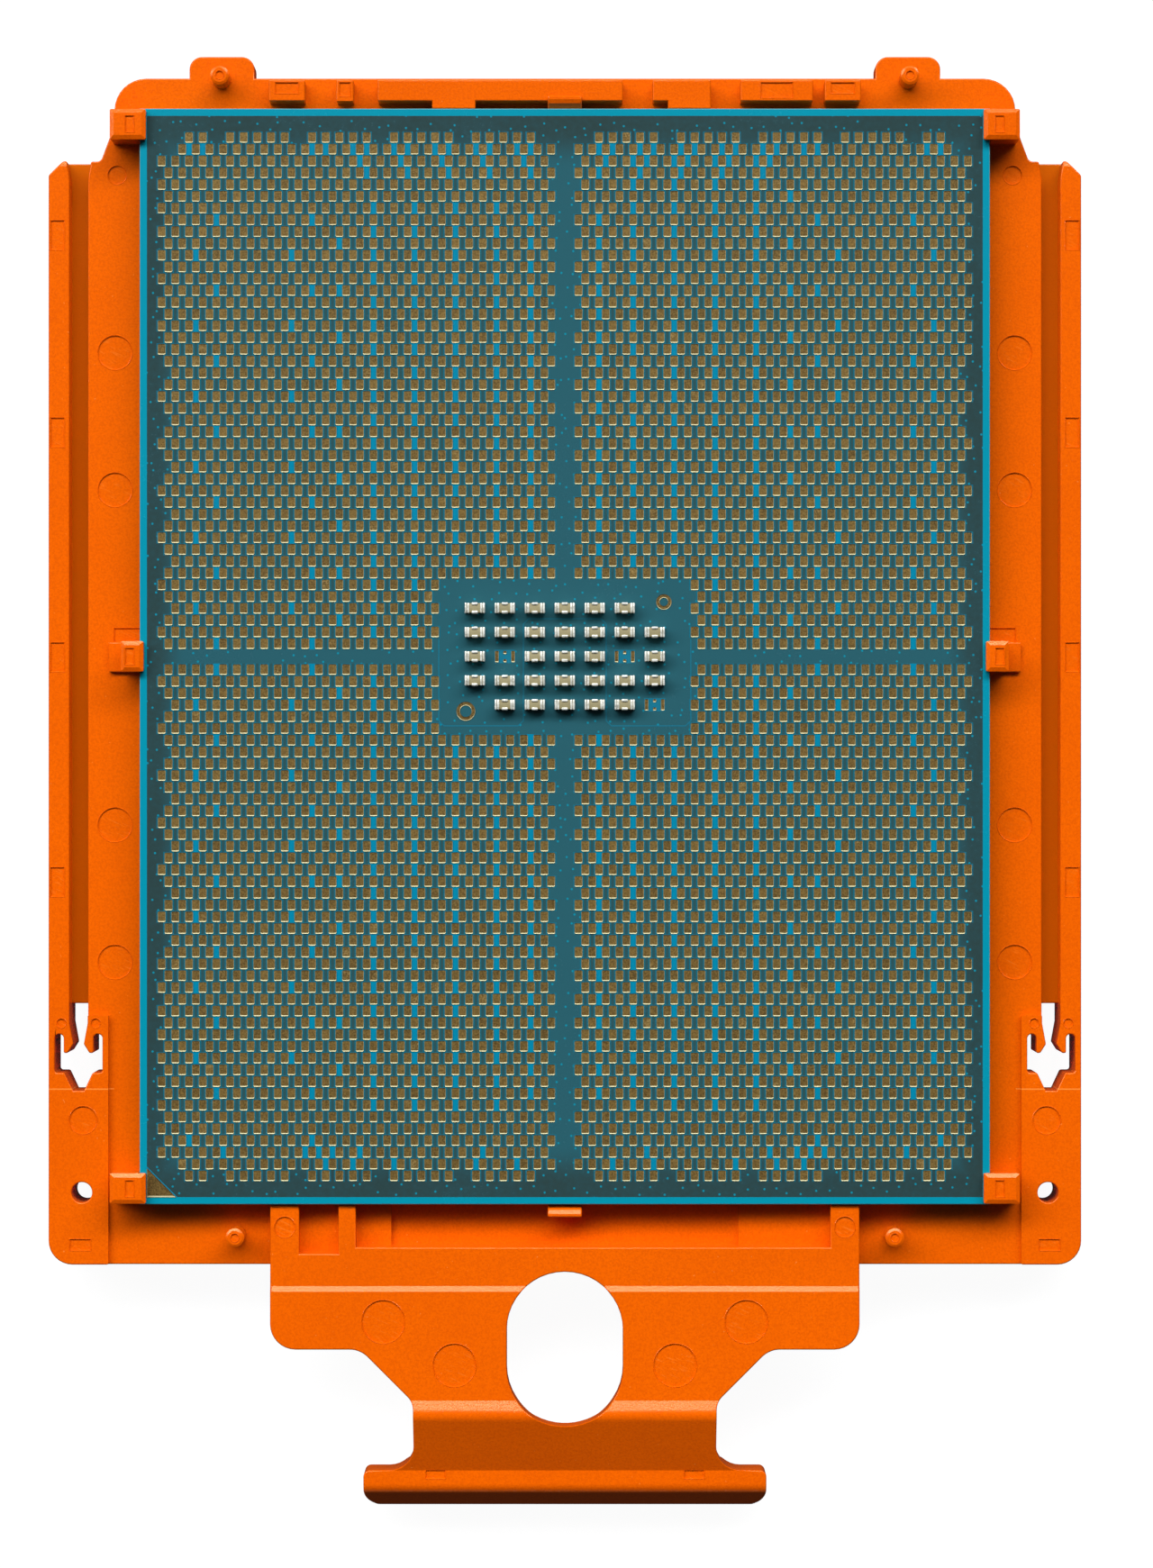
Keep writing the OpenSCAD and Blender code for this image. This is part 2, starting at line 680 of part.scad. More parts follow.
module lid_adhesive() {
  color("dimgray") difference() {
    prism(rounded(plate_outline(foot_w, foot_l, lid_corner_r)), lid_top_z, seat_z);
    prism(rounded(plate_outline(cavity_w, cavity_l, lid_corner_r)), lid_top_z - over, seat_z + over);
  }
}

module die(p, w, l) {
  color("slategray") plate(p[0], p[1], w, l, solder_z, die_z);
}

module die_solder(p, w, l) {
  color("lightgray") plate(p[0], p[1], w, l, ceiling_z, solder_z);
}

module die_underfill(p, w, l) {
  color("darkslategray")
    plate(p[0], p[1], w + 2 * underfill_spread, l + 2 * underfill_spread, die_z, seat_z);
}

function compute_place(i) = [compute_sides[i][0] * compute_die_x, compute_sides[i][1] * compute_die_y];

module die_side_capacitors() {
  color("tan") for (s = [-1, 1]) for (k = [0 : die_cap_count - 1])
    plate((k - (die_cap_count - 1) / 2) * die_cap_pitch, s * die_cap_y, die_cap_w, die_cap_l,
      seat_z - die_cap_h, seat_z);
}

// Carrier plate with the opening for the lid
peg_half = half_w + peg_bar_side;
shoulder_half = half_w + shoulder_side;
function peg_bar_outline() = both_sides([
  [peg_half, peg_end_y, peg_bar_r],
  [peg_half, peg_end_y - peg_bar_r - over, 0],
  [shoulder_half, shoulder_y, shoulder_r],
  [shoulder_half + over, shoulder_y, 0],
  [shoulder_half + over, shoulder_y - root, 0]
]);

module end_tab() {
  y = peg_end_y + tab_reach;
  outline = [
    [tab_x + tab_w / 2, y, tab_r],
    [tab_x + tab_w / 2, peg_end_y - root, 0],
    [tab_x - tab_w / 2, peg_end_y - root, 0],
    [tab_x - tab_w / 2, y, tab_r]
  ];
  prism(rounded(outline), plate_z, seat_z);
}

module carrier_plate() {
  prism(rounded(peg_bar_outline()), plate_z, seat_z);
  both_x() end_tab();
  box(-shoulder_half, shoulder_half, handle_end_y, shoulder_y, plate_z, seat_z);
}

// Right-hand rail
function rail_outline(inner_x, y0) = [
  [inner_x, y0, 0],
  [rail_x, y0, y0 == handle_end_y ? rail_corner_r : 0],
  [rail_x, shoulder_y - rail_chamfer, 0],
  [rail_x - rail_chamfer, shoulder_y, 0],
  [inner_x, shoulder_y, 0]
];
corner_block_y = snap_start_y - corner_block_drop;
corner_block_outline = [
  [rail_x - corner_block_w, handle_end_y, 0],
  [rail_x, handle_end_y, rail_corner_r],
  [rail_x, corner_block_y, 0],
  [rail_x - corner_block_w, corner_block_y, 0]
];

module rail() {
  prism(rounded(rail_outline(half_w + pocket_gap, handle_end_y)), rail_z, seat_z);
  prism(rounded(corner_block_outline), rail_z, rib_z);
  difference() {
    prism(rounded(rail_outline(rail_x - rib_w, corner_block_y - root)), rail_z, rib_z);
    // lead-in slope at the rib's open end
    along_x([
      [shoulder_y + over, rib_z + over],
      [shoulder_y + over, rib_z - rib_lead_fall],
      [shoulder_y, rib_z - rib_lead_fall],
      [shoulder_y - rib_lead, rib_z],
      [shoulder_y - rib_lead, rib_z + over]
    ], rail_x - rib_w - over, rail_x + over);
  }
}

module slide_groove() {
  w = groove_w / 2;
  f = w + groove_flare;
  outline = [
    [groove_x - w, snap_start_y - root],
    [groove_x + w, snap_start_y - root],
    [groove_x + w, shoulder_y - groove_lead],
    [groove_x + f, shoulder_y],
    [groove_x + f, shoulder_y + over],
    [groove_x - f, shoulder_y + over],
    [groove_x - f, shoulder_y],
    [groove_x - w, shoulder_y - groove_lead]
  ];
  prism(outline, seat_z - groove_depth, rib_z + over);
}

// Through slot with two springy prongs, which holds the carrier at the end of its slide
module snap_slot() {
  side = snap_w / 2;
  prong_side = side - snap_slit_w;
  slit_r = snap_slit_w / 2 - skin;
  outline = both_sides([
    [groove_w / 2, 0, 0],
    [groove_w / 2, -snap_taper_y, 0],
    [snap_neck_w / 2, -snap_neck_y, snap_bend_r],
    [prong_side - snap_flat_w, -snap_prong_y, snap_bend_r],
    [prong_side, -snap_prong_y, snap_corner_r],
    [prong_side, -snap_slit_y, slit_r],
    [side, -snap_slit_y, slit_r],
    [side, -snap_point_y, snap_bend_r],
    [snap_point_w / 2, -snap_point_y, 0],
    [snap_tip_w / 2, -snap_l, 0]
  ]);
  translate([groove_x, snap_start_y, 0]) prism(rounded(outline), rail_z - over, rib_z + over);
}

module locating_hole() {
  translate([rail_x - locating_hole_in, handle_end_y + locating_hole_y, rail_z - over])
    cylinder(h = rail_t + rib_step + 2 * over, d = locating_hole_d);
}

// Section of a clip, bevelled along both top edges
function clip_profile(a, b) = [
  [a, seat_z - root],
  [b, seat_z - root],
  [b, clip_top_z - clip_bevel_h],
  [b - clip_bevel, clip_top_z],
  [a + clip_bevel, clip_top_z],
  [a, clip_top_z - clip_bevel_h]
];

// Side clip over the package's right edge, with its middle at y
module side_clip(y, overlap, back) {
  x0 = half_w - overlap;
  x1 = half_w + back;
  difference() {
    intersection() {
      along_y(clip_profile(x0, x1), y - clip_l, y + clip_l);
      along_x(clip_profile(y - clip_l / 2, y + clip_l / 2), x0 - over, x1 + over);
    }
    plate(half_w + clip_sink_x, y, clip_sink_w, clip_sink_l, clip_top_z - mark_depth, clip_top_z + over);
  }
}

module side_clips() {
  for (s = [-1, 1]) side_clip(s * (half_l - clip_inset), clip_overlap, clip_back);
  side_clip(0, mid_clip_overlap, mid_clip_back);
  box(half_w + pocket_gap, half_w + mid_clip_base, -clip_l / 2, clip_l / 2, seat_z - root, rib_z);
}

// Lug behind the substrate's end, with its lead-in slope facing the package
module end_lug() {
  y0 = half_l + pocket_gap;
  y1 = y0 + lug_l;
  top_z = package_h - lug_drop;
  profile = [
    [y0, seat_z - root],
    [y1, seat_z - root],
    [y1, top_z - lug_chamfer],
    [y1 - lug_chamfer, top_z],
    [y1 - lug_flat, top_z],
    [y1 - lug_flat - lug_bevel, top_z - lug_bevel_h],
    [y0, top_z - lug_bevel_h - lug_lead_h]
  ];
  along_x(profile, -lug_w / 2, lug_w / 2);
}

module peg(x, y) {
  translate([x, y, seat_z - root]) difference() {
    union() {
      cylinder(h = peg_h + root - peg_bevel_h, d = peg_d);
      translate([0, 0, peg_h + root - peg_bevel_h])
        cylinder(h = peg_bevel_h, d1 = peg_d, d2 = peg_d - 2 * peg_bevel);
    }
    translate([0, 0, peg_h + root - mark_depth]) cylinder(h = over, d = peg_dimple_d);
  }
}

// Stop blocks at the peg end: [x from, x to, width of the sink on top, its length]
stop_blocks = [
  [-20.4, -17.9, 1.56, 0.74],
  [-15.75, -14.55, 0.74, 0.94],
  [-12.9, 4, 0, 0],
  [6.05, 10.05, 0, 0],
  [12.1, 17.1, 2.18, 1.02],
  [17.9, 20.4, 1.62, 0.74]
];
// Noses of the stop blocks that touch the substrate's edge: [x from, x to]
stop_noses = [[-9.15, -6.15], [7.1, 10.05]];

module stop_block(b) {
  y0 = half_l + block_gap;
  y1 = y0 + block_l;
  z1 = seat_z + block_h;
  difference() {
    box(b[0], b[1], y0, y1, seat_z - root, z1);
    if (b[2] > 0)
      plate((b[0] + b[1]) / 2, y1 - block_sink_y - b[3] / 2, b[2], b[3], z1 - mark_depth, z1 + over);
  }
}

module stop_nose(n) {
  box(n[0], n[1], half_l + pocket_gap, half_l + block_gap + root, seat_z - root, seat_z + block_h);
}

// Handle: the outline seen from above is cut from the long section
function handle_outline() = both_sides([
  [handle_w / 2, -half_l - pocket_gap, 0],
  [handle_w / 2, handle_end_y - arm_l, arm_r],
  [neck_w / 2 + neck_slope, handle_end_y - arm_l, arm_r],
  [neck_w / 2, handle_end_y - arm_l - neck_slope, neck_r],
  [neck_w / 2, lip_start_y, arm_r],
  [lip_w / 2, lip_start_y, lip_inner_r],
  [lip_w / 2, lip_end_y, lip_corner_r]
]);
function handle_section() = [
  [-half_l - pocket_gap + over, root_z, 0],
  [handle_end_y - step_y, root_z, 0],
  [handle_end_y - step_y - step_run, arm_z, 0],
  [handle_end_y - ridge_y, arm_z, 0],
  [handle_end_y - ridge_y - ridge_run, ridge_z, ridge_r],
  [lip_start_y, lip_z, 0],
  [lip_end_y + lip_taper, lip_z, lip_r],
  [lip_end_y, lip_z - lip_h + lip_edge, handle_fillet],
  [lip_end_y, lip_z - lip_h, handle_fillet],
  [lip_start_y + lip_back, lip_z - lip_h, handle_fillet],
  [lip_start_y + lip_back, lip_z - handle_t, handle_fillet],
  [handle_end_y - ridge_y - ridge_run, ridge_z - handle_t, handle_fillet],
  [handle_end_y - ridge_y, arm_z - handle_t, 0],
  [handle_end_y - step_y - step_run, arm_z - handle_t, 0],
  [handle_end_y - step_y, root_z - handle_t, 0],
  [handle_end_y, root_z - handle_t, handle_fillet],
  [handle_end_y, plate_z, 0],
  [-half_l - pocket_gap + over, plate_z, 0]
];

// Recesses in the handle's root: [x from, x to, depth from the substrate's end, height above the plate]
root_recesses = [
  [-18.3, -15.6, 3.45, 0.35],
  [-14.4, -11.9, 3, 0.35],
  [-12, 12, 3, 0],
  [11.9, 18.3, 3, 0.35]
];

// Ejector marks: shallow round sinks
module mark(x, y, d, z) {
  translate([x, y, z - mark_depth]) cylinder(h = mark_depth + over, d = d);
}

// Square-cornered sinks
module sink(x, y, w, l, z) {
  plate(x, y, w, l, z - mark_depth, z + over);
}

module handle_marks() {
  mark(arm_mark_x, handle_end_y - arm_mark_y, handle_mark_d, arm_z);
  mark(neck_mark_x, handle_end_y - neck_mark_y, handle_mark_d, arm_z);
  mark(handle_w / 2 - post_mark_x, -half_l - post_mark_y, post_mark_d, root_z);
  sink(lip_mark_x, lip_start_y - lip_mark_l / 2, lip_mark_w, lip_mark_l, lip_z);
}

module finger_hole() {
  translate([0, handle_end_y - finger_y, -over]) linear_extrude(ridge_z + 2 * over) {
    for (s = [-1, 1]) translate([0, s * (finger_l - finger_w) / 2]) circle(d = finger_w);
    square([finger_w, finger_l - finger_w], center = true);
  }
}

module handle() {
  difference() {
    intersection() {
      prism(rounded(handle_outline()), 0, ridge_z + over);
      along_x(rounded(handle_section()), -handle_w, handle_w);
    }
    for (r = root_recesses) box(r[0], r[1], -half_l - r[2], -half_l + over, seat_z + r[3], root_z + over);
    finger_hole();
    both_x() handle_marks();
  }
}

module rail_marks() {
  for (s = [-1, 1]) for (y = [rail_mark_near, rail_mark_far])
    mark(half_w + rail_mark_x, s * y, rail_mark_d, seat_z);
  mark(half_w + shoulder_mark_x, shoulder_y - shoulder_mark_y, shoulder_mark_d, seat_z);
  mark(rail_x - block_mark_x, handle_end_y + block_mark_y, block_mark_d, rib_z);
  for (s = [-1, 1]) mark(groove_x + s * prong_mark_x, snap_start_y - prong_mark_y, prong_mark_d, rib_z);
  for (y = [-rib_mark_pitch, 0, rib_mark_pitch, rib_mark_last])
    sink(rail_x - rib_mark_in - rib_mark_w / 2, y, rib_mark_w, rib_mark_l, rib_z);
  sink(rail_x - foot_mark_x, handle_end_y + foot_mark_y, foot_mark_w, foot_mark_l, rib_z);
  // relief beside the middle clip
  box(half_w, half_w + relief_w, clip_l / 2, clip_l / 2 + relief_l, seat_z - mark_depth, seat_z + over);
}

module carrier_frame() {
  color("darkorange") difference() {
    union() {
      difference() {
        union() {
          carrier_plate();
          both_x() rail();
        }
        both_x() {
          slide_groove();
          snap_slot();
          locating_hole();
          rail_marks();
        }
      }
      both_x() side_clips();
      end_lug();
      mirror([0, 1, 0]) end_lug();
      for (b = stop_blocks) stop_block(b);
      for (n = stop_noses) stop_nose(n);
      both_x() {
        peg(tab_x, peg_end_y - tab_peg_y);
        peg(handle_peg_x, handle_end_y + handle_peg_y);
      }
      handle();
    }
    // room for the package, and the window that its lid looks through
    plate(0, 0, 2 * (half_w + pocket_gap), 2 * (half_l + pocket_gap), seat_z, package_h);
    plate(0, 0, foot_w + 2 * lid_gap, foot_l + 2 * lid_gap, -over, seat_z + over);
  }
}

carrier_frame();
substrate();
for (i = [0 : 3]) contact_lands(i);
corner_mark();
fiducial_rings();
spare_footprint_pads();
for (i = [0 : len(cap_places) - 1]) capacitor(i);
heat_spreader();
lid_adhesive();
die([0, 0], io_die_w, io_die_l);  // io_die
die_solder([0, 0], io_die_w, io_die_l);  // io_die_solder
die_underfill([0, 0], io_die_w, io_die_l);  // io_die_underfill
for (i = [0 : 3]) {
  p = compute_place(i);
  die(p, compute_die_w, compute_die_l);
  die_solder(p, compute_die_w, compute_die_l);
  die_underfill(p, compute_die_w, compute_die_l);
}
die_side_capacitors();
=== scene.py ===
import json
from math import cos, pi, radians, sin
import bmesh
import bpy
from mathutils import Matrix, Vector


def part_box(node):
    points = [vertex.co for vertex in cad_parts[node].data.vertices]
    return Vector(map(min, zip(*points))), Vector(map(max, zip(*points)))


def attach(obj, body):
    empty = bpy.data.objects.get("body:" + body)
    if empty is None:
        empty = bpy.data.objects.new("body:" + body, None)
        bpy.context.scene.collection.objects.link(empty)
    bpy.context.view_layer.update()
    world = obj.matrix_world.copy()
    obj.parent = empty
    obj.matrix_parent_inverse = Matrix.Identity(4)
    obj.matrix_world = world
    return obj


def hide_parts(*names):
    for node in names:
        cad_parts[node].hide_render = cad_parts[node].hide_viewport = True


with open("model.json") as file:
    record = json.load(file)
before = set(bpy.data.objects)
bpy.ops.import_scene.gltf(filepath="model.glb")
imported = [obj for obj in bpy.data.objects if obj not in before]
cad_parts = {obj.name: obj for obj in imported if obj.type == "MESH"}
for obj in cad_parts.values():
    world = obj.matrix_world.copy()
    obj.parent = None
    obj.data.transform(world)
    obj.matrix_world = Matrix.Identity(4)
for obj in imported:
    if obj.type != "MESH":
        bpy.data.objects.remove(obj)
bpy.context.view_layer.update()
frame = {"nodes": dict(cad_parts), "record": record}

scene = bpy.context.scene
mm = 0.001  # named sizes are in mm, and named turns in degrees
boardLow, boardHigh = (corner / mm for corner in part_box("substrate"))
halfWide, halfLong, seatZ, faceZ = boardHigh.x, boardHigh.y, boardLow.z, boardHigh.z
print("frame loaded, board", round(2 * halfWide, 2), "x", round(2 * halfLong, 2), "mm")


# shader wiring

mixSockets = {"factor": 0, "first": 6, "second": 7, "result": 2}  # by number: a mix node's names repeat


class Wire:  # a socket that can stand in a sum
    def __init__(self, socket):
        self.socket = socket

    def node(self, kind, settings, values, output=0):  # any other node
        tree = self.socket.id_data
        made = tree.nodes.new(kind)
        for name, value in settings.items():
            setattr(made, name, value)
        for name, value in values.items():
            if isinstance(value, Wire):
                tree.links.new(value.socket, made.inputs[name])
            else:
                made.inputs[name].default_value = value
        return Wire(made.outputs[output])

    def sum(self, operation, first, second):
        return self.node("ShaderNodeMath", {"operation": operation}, {0: first, 1: second})

    def __add__(self, other):
        return self.sum("ADD", self, other)

    def __sub__(self, other):
        return self.sum("SUBTRACT", self, other)

    def __rsub__(self, other):
        return self.sum("SUBTRACT", other, self)

    def __mul__(self, other):
        return self.sum("MULTIPLY", self, other)

    def __truediv__(self, other):
        return self.sum("DIVIDE", self, other)

    def __abs__(self):
        return self.sum("ABSOLUTE", self, 0.0)

    __radd__ = __add__
    __rmul__ = __mul__

    def between(self, low, high):  # 0 below low, 1 above high, smooth between
        values = {"Value": self, "From Min": low, "From Max": high}
        return self.node("ShaderNodeMapRange", {"interpolation_type": "SMOOTHSTEP"}, values)

    def blend(self, other, share):  # other by its share, self by the rest
        return self * (1 - share) + other * share

    def noise(self, size, detail=3.0, roughness=0.55):  # size in mm
        values = {"Vector": self, "Scale": 1 / (size * mm), "Detail": detail, "Roughness": roughness}
        return self.node("ShaderNodeTexNoise", {}, values)

    def tones(self, first, second):  # self as the factor between two colours, each a wire or a screen colour
        first, second = (c if isinstance(c, Wire) else rgb(*c) for c in (first, second))
        values = {mixSockets["factor"]: self, mixSockets["first"]: first, mixSockets["second"]: second}
        return self.node("ShaderNodeMix", {"data_type": "RGBA"}, values, mixSockets["result"])


def rgb(red, green, blue):  # screen colour, 0 to 255, by the sRGB curve to the linear one that sockets take
    parts = [c / 255 for c in (red, green, blue)]
    return tuple(c / 12.92 if c <= 0.04045 else ((c + 0.055) / 1.055) ** 2.4 for c in parts) + (1.0,)


def startFinish(name, constants):
    material = bpy.data.materials.new(name)
    material.use_nodes = True
    nodes = material.node_tree.nodes
    shader = nodes["Principled BSDF"]
    for socket, value in constants.items():
        shader.inputs[socket].default_value = value
    return material, shader, Wire(nodes.new("ShaderNodeTexCoord").outputs["Object"])


def feed(shader, **wires):
    names = {"colour": "Base Color", "roughness": "Roughness", "normal": "Normal"}
    for name, wire in wires.items():
        shader.id_data.links.new(wire.socket, shader.inputs[names[name]])


def axis(place, name):  # one coordinate in mm
    return place.node("ShaderNodeSeparateXYZ", {}, {"Vector": place}, name) / mm


def stored(place, name):
    return place.node("ShaderNodeAttribute", {"attribute_name": name}, {}, "Fac")


def bump(height, depth, strength):  # depth in mm
    values = {"Height": height, "Distance": depth * mm, "Strength": strength}
    return height.node("ShaderNodeBump", {}, values, "Normal")


def surface(shader, look, colour, dull, raised):  # dull and raised: what roughness and relief follow
    base, swing = look["roughness"]
    feed(shader, colour=colour, roughness=base + dull * swing, normal=bump(raised, *look["relief"]))


# meshes

def newPiece(name, mesh):
    piece = bpy.data.objects.new(name, mesh)
    scene.collection.objects.link(piece)
    return piece


def meshFrom(name, points, faces):  # points in mm
    mesh = bpy.data.meshes.new(name)
    mesh.from_pydata([Vector(p) * mm for p in points], [], faces)
    return mesh


def meshFromWork(name, work):  # a bmesh in mm
    mesh = bpy.data.meshes.new(name)
    work.to_mesh(mesh)
    work.free()
    mesh.transform(Matrix.Scale(mm, 4))
    return mesh


def roundOver(work, edges, radius, segments, clamped):
    halfRound = 0.5  # a bevel profile that is part of a circle
    return bmesh.ops.bevel(work, geom=edges, offset=radius, offset_type="OFFSET", segments=segments,
                           profile=halfRound, affect="EDGES", clamp_overlap=clamped)


def smooth(mesh, turn):
    mesh.shade_smooth()
    mesh.set_sharp_from_angle(angle=radians(turn))


def joined(parts):  # (points, faces) lists to one
    points, faces = [], []
    for partPoints, partFaces in parts:
        faces += [[i + len(points) for i in face] for face in partFaces]
        points += partPoints
    return points, faces


def insetOutline(points, widths):  # each side moved inwards by its own width
    inner = []
    count = len(points)
    for i, point in enumerate(points):
        before = (Vector(point) - Vector(points[i - 1])).normalized()
        after = (Vector(points[(i + 1) % count]) - Vector(point)).normalized()
        a, b = Vector((-before.y, before.x)), Vector((-after.y, after.x))
        across, wa, wb = a.x * b.y - a.y * b.x, widths[i - 1], widths[i]
        inner.append((point[0] + (wa * b.y - wb * a.y) / across, point[1] + (a.x * wb - b.x * wa) / across))
    return inner


def dress(piece, material, slot, *nodes):
    piece.data.materials.clear()
    piece.data.materials.append(material)
    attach(piece, "root")
    if nodes:
        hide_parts(*nodes)


def topMap(mesh):  # the map a bake goes through, seen from above
    points = [mesh.vertices[loop.vertex_index].co for loop in mesh.loops]
    low = Vector((min(p.x for p in points), min(p.y for p in points), 0))
    span = max(max(p.x for p in points) - low.x, max(p.y for p in points) - low.y)
    layer = mesh.uv_layers.new(name="OFBake")
    for spot, p in zip(layer.uv, points):
        spot.vector = ((p - low) / span).xy


# one tree that sets copies of a shape on places, each with a tint of its own

def copiesTree():
    tree = bpy.data.node_groups.new("copies on places", "GeometryNodeTree")
    tree.interface.new_socket("Places", in_out="INPUT", socket_type="NodeSocketGeometry")
    inputs = {"Shape": "Object", "Finish": "Material", "Tint spread": "Float", "Seed": "Int"}
    for name, kind in inputs.items():
        tree.interface.new_socket(name, in_out="INPUT", socket_type="NodeSocket" + kind)
    tree.interface.new_socket("Copies", in_out="OUTPUT", socket_type="NodeSocketGeometry")
    add = tree.nodes.new
    source, goal = add("NodeGroupInput"), add("NodeGroupOutput")
    shape, copies = add("GeometryNodeObjectInfo"), add("GeometryNodeInstanceOnPoints")
    tint, keep = add("FunctionNodeRandomValue"), add("GeometryNodeStoreNamedAttribute")
    real, finish = add("GeometryNodeRealizeInstances"), add("GeometryNodeSetMaterial")
    keep.domain = "INSTANCE"
    keep.inputs["Name"].default_value = "tint"
    floatMax, floatOut, seed = tint.inputs[3], tint.outputs[1], tint.inputs["Seed"]
    for start, end in (
        (source.outputs["Places"], copies.inputs["Points"]),
        (source.outputs["Shape"], shape.inputs["Object"]),
        (shape.outputs["Geometry"], copies.inputs["Instance"]),
        (copies.outputs["Instances"], keep.inputs["Geometry"]),
        (source.outputs["Tint spread"], floatMax),
        (source.outputs["Seed"], seed),
        (floatOut, keep.inputs["Value"]),
        (keep.outputs["Geometry"], real.inputs["Geometry"]),
        (real.outputs["Geometry"], finish.inputs["Geometry"]),
        (source.outputs["Finish"], finish.inputs["Material"]),
        (finish.outputs["Geometry"], goal.inputs["Copies"]),
    ):
        tree.links.new(start, end)
    return tree


copiesOnPlaces = copiesTree()


def setCopies(name, places, shapeMesh, finish, spread, seed):
    shape = newPiece(name + " shape", shapeMesh)
    piece = newPiece(name, meshFrom(name + " places", places, []))
    copies = piece.modifiers.new("copies", "NODES")
    copies.node_group = copiesOnPlaces
    inputs = {s.name: s.identifier for s in copiesOnPlaces.interface.items_tree if s.in_out == "INPUT"}
    values = {"Shape": shape, "Finish": finish, "Tint spread": spread, "Seed": seed}
    for socket, value in values.items():
        copies[inputs[socket]] = value
    made = piece.evaluated_get(bpy.context.evaluated_depsgraph_get())
    piece.data = bpy.data.meshes.new_from_object(made)
    piece.modifiers.remove(copies)
    bpy.data.objects.remove(shape)
    return piece


# finishes: a pattern is its size in mm, detail and roughness, a span is where its values turn from 0 to 1,
# a tone is a screen colour, a share is how much of a tone shows, roughness is a base and what a pattern
# adds to it, and relief is depth in mm and strength

gilding = {
    "fixed": {"Metallic": 0.4, "Specular IOR Level": 0.3}, "roughness": (0.42, 0.2), "relief": (0.005, 0.7),
    "grain": (0.1, 4.0, 0.7), "grainSpan": (0.35, 0.68), "dark": (78, 60, 26), "light": (138, 112, 58),
    "tintShare": 0.25, "wear": (1.6, 3.0), "wearSpan": (0.6, 0.74), "wearGrain": (0.42, 0.6),
    # the pale tone on this line is a painted highlight on slopes that face the lamps
    "worn": (170, 146, 92), "wornShare": 0.5, "rim": (172, 168, 132), "rimHighlightSpan": (0.1, 0.35),
}


def goldPlate():
    metal, shader, place = startFinish("gold plate", gilding["fixed"])
    grain = place.noise(*gilding["grain"])
    tone = grain.between(*gilding["grainSpan"]).blend(stored(place, "tint"), gilding["tintShare"])
    flat = tone.tones(gilding["dark"], gilding["light"])
    wear = place.noise(*gilding["wear"]).between(*gilding["wearSpan"])
    worn = wear * grain.between(*gilding["wearGrain"]) * gilding["wornShare"]
    pale = worn.tones(flat, gilding["worn"])
    # painted highlight: slopes that face the lamps are painted pale
    colour = stored(place, "rim").between(*gilding["rimHighlightSpan"]).tones(pale, gilding["rim"])
    surface(shader, gilding, colour, grain, grain)
    return metal


masking = {
    "fixed": {"Specular IOR Level": 0.3}, "roughness": (0.2, 0.12), "relief": (0.003, 0.4),
    "weave": (0.22, 2.0), "cloud": (9.0, 2.0), "fleck": (0.35, 3.0), "fleckShare": 0.5,
    "field": (40, 74, 77), "open": (36, 86, 97), "edge": (40, 61, 62), "edgeSpan": (0.89, 0.96),
    "clouded": (36, 82, 93), "cloudSpan": (0.3, 0.75), "cloudShare": 0.35, "via": (0, 132, 158),
    "viaPitch": 0.95, "viaScatter": 0.8, "viaSpan": (0.055, 0.1), "viaShare": 0.85,
    "landEdge": (4, 107, 132), "landEdgeSpan": (0.4, 0.55), "landEdgeShare": 0.75,
    "bare": (0, 122, 154), "band": (0, 134, 158), "cut": (90, 150, 158),
}


def maskedLaminate():
    laminate, shader, place = startFinish("masked laminate", masking["fixed"])
    cloud = place.noise(*masking["cloud"]).blend(place.noise(*masking["fleck"]), masking["fleckShare"])
    clear = stored(place, "open")
    outward = place.sum("MAXIMUM", abs(axis(place, "X")) / halfWide, abs(axis(place, "Y")) / halfLong)
    inside = clear.tones(masking["field"], masking["open"])
    over = outward.between(*masking["edgeSpan"]).tones(inside, masking["edge"])
    clouds = cloud.between(*masking["cloudSpan"]) * masking["cloudShare"]
    copper = clouds.tones(over, masking["clouded"])
    spread = {"Vector": place, "Scale": 1 / (masking["viaPitch"] * mm), "Randomness": masking["viaScatter"]}
    cells = place.node("ShaderNodeTexVoronoi", {"voronoi_dimensions": "2D"}, spread, "Distance")
    vias = (1 - cells.between(*masking["viaSpan"])) * clear * masking["viaShare"]
    dotted = vias.tones(copper, masking["via"])
    landEdge = stored(place, "landEdge").between(*masking["landEdgeSpan"]) * masking["landEdgeShare"]
    colour = landEdge.tones(dotted, masking["landEdge"])
    for name in ("bare", "band", "cut"):
        colour = stored(place, name).tones(colour, masking[name])
    surface(shader, masking, colour, cloud, place.noise(*masking["weave"]))
    return laminate


moulding = {  # the line, where two halves of the mould met, crosses both rails
    "fixed": {"Specular IOR Level": 0.5, "Specular Tint": rgb(255, 226, 180)},
    "roughness": (0.17, 0.1), "relief": (0.02, 0.7), "dark": (226, 93, 0), "light": (231, 97, 0),
    "cloud": (9.0, 3.0), "cloudSpan": (0.3, 0.7), "grained": (207, 79, 0), "grain": (0.16, 3.0, 0.65),
    "grainSpan": (0.35, 0.7), "grainShare": 0.6, "specked": (246, 150, 70), "speck": (0.24, 1.0),
    "speckSpan": (0.77, 0.8), "speckShare": 0.4, "lined": (250, 150, 60), "lineY": -29.88, "lineFrom": 31.2,
    # the darker brown on this line, with its share, is painted shade on the rails' groove floors
    "lineHalf": 0.025, "lineSoft": 0.04, "lineShare": 0.6, "grooveShade": (188, 93, 0), "grooveShadeShare": 0.8,
    "scratched": (246, 140, 50), "scratch": (0.11, 2.0), "scratchSpan": (0.56, 0.7), "scratchShare": 0.22,
    "scratchTurn": -25.0, "scratchLong": 9.0,
}


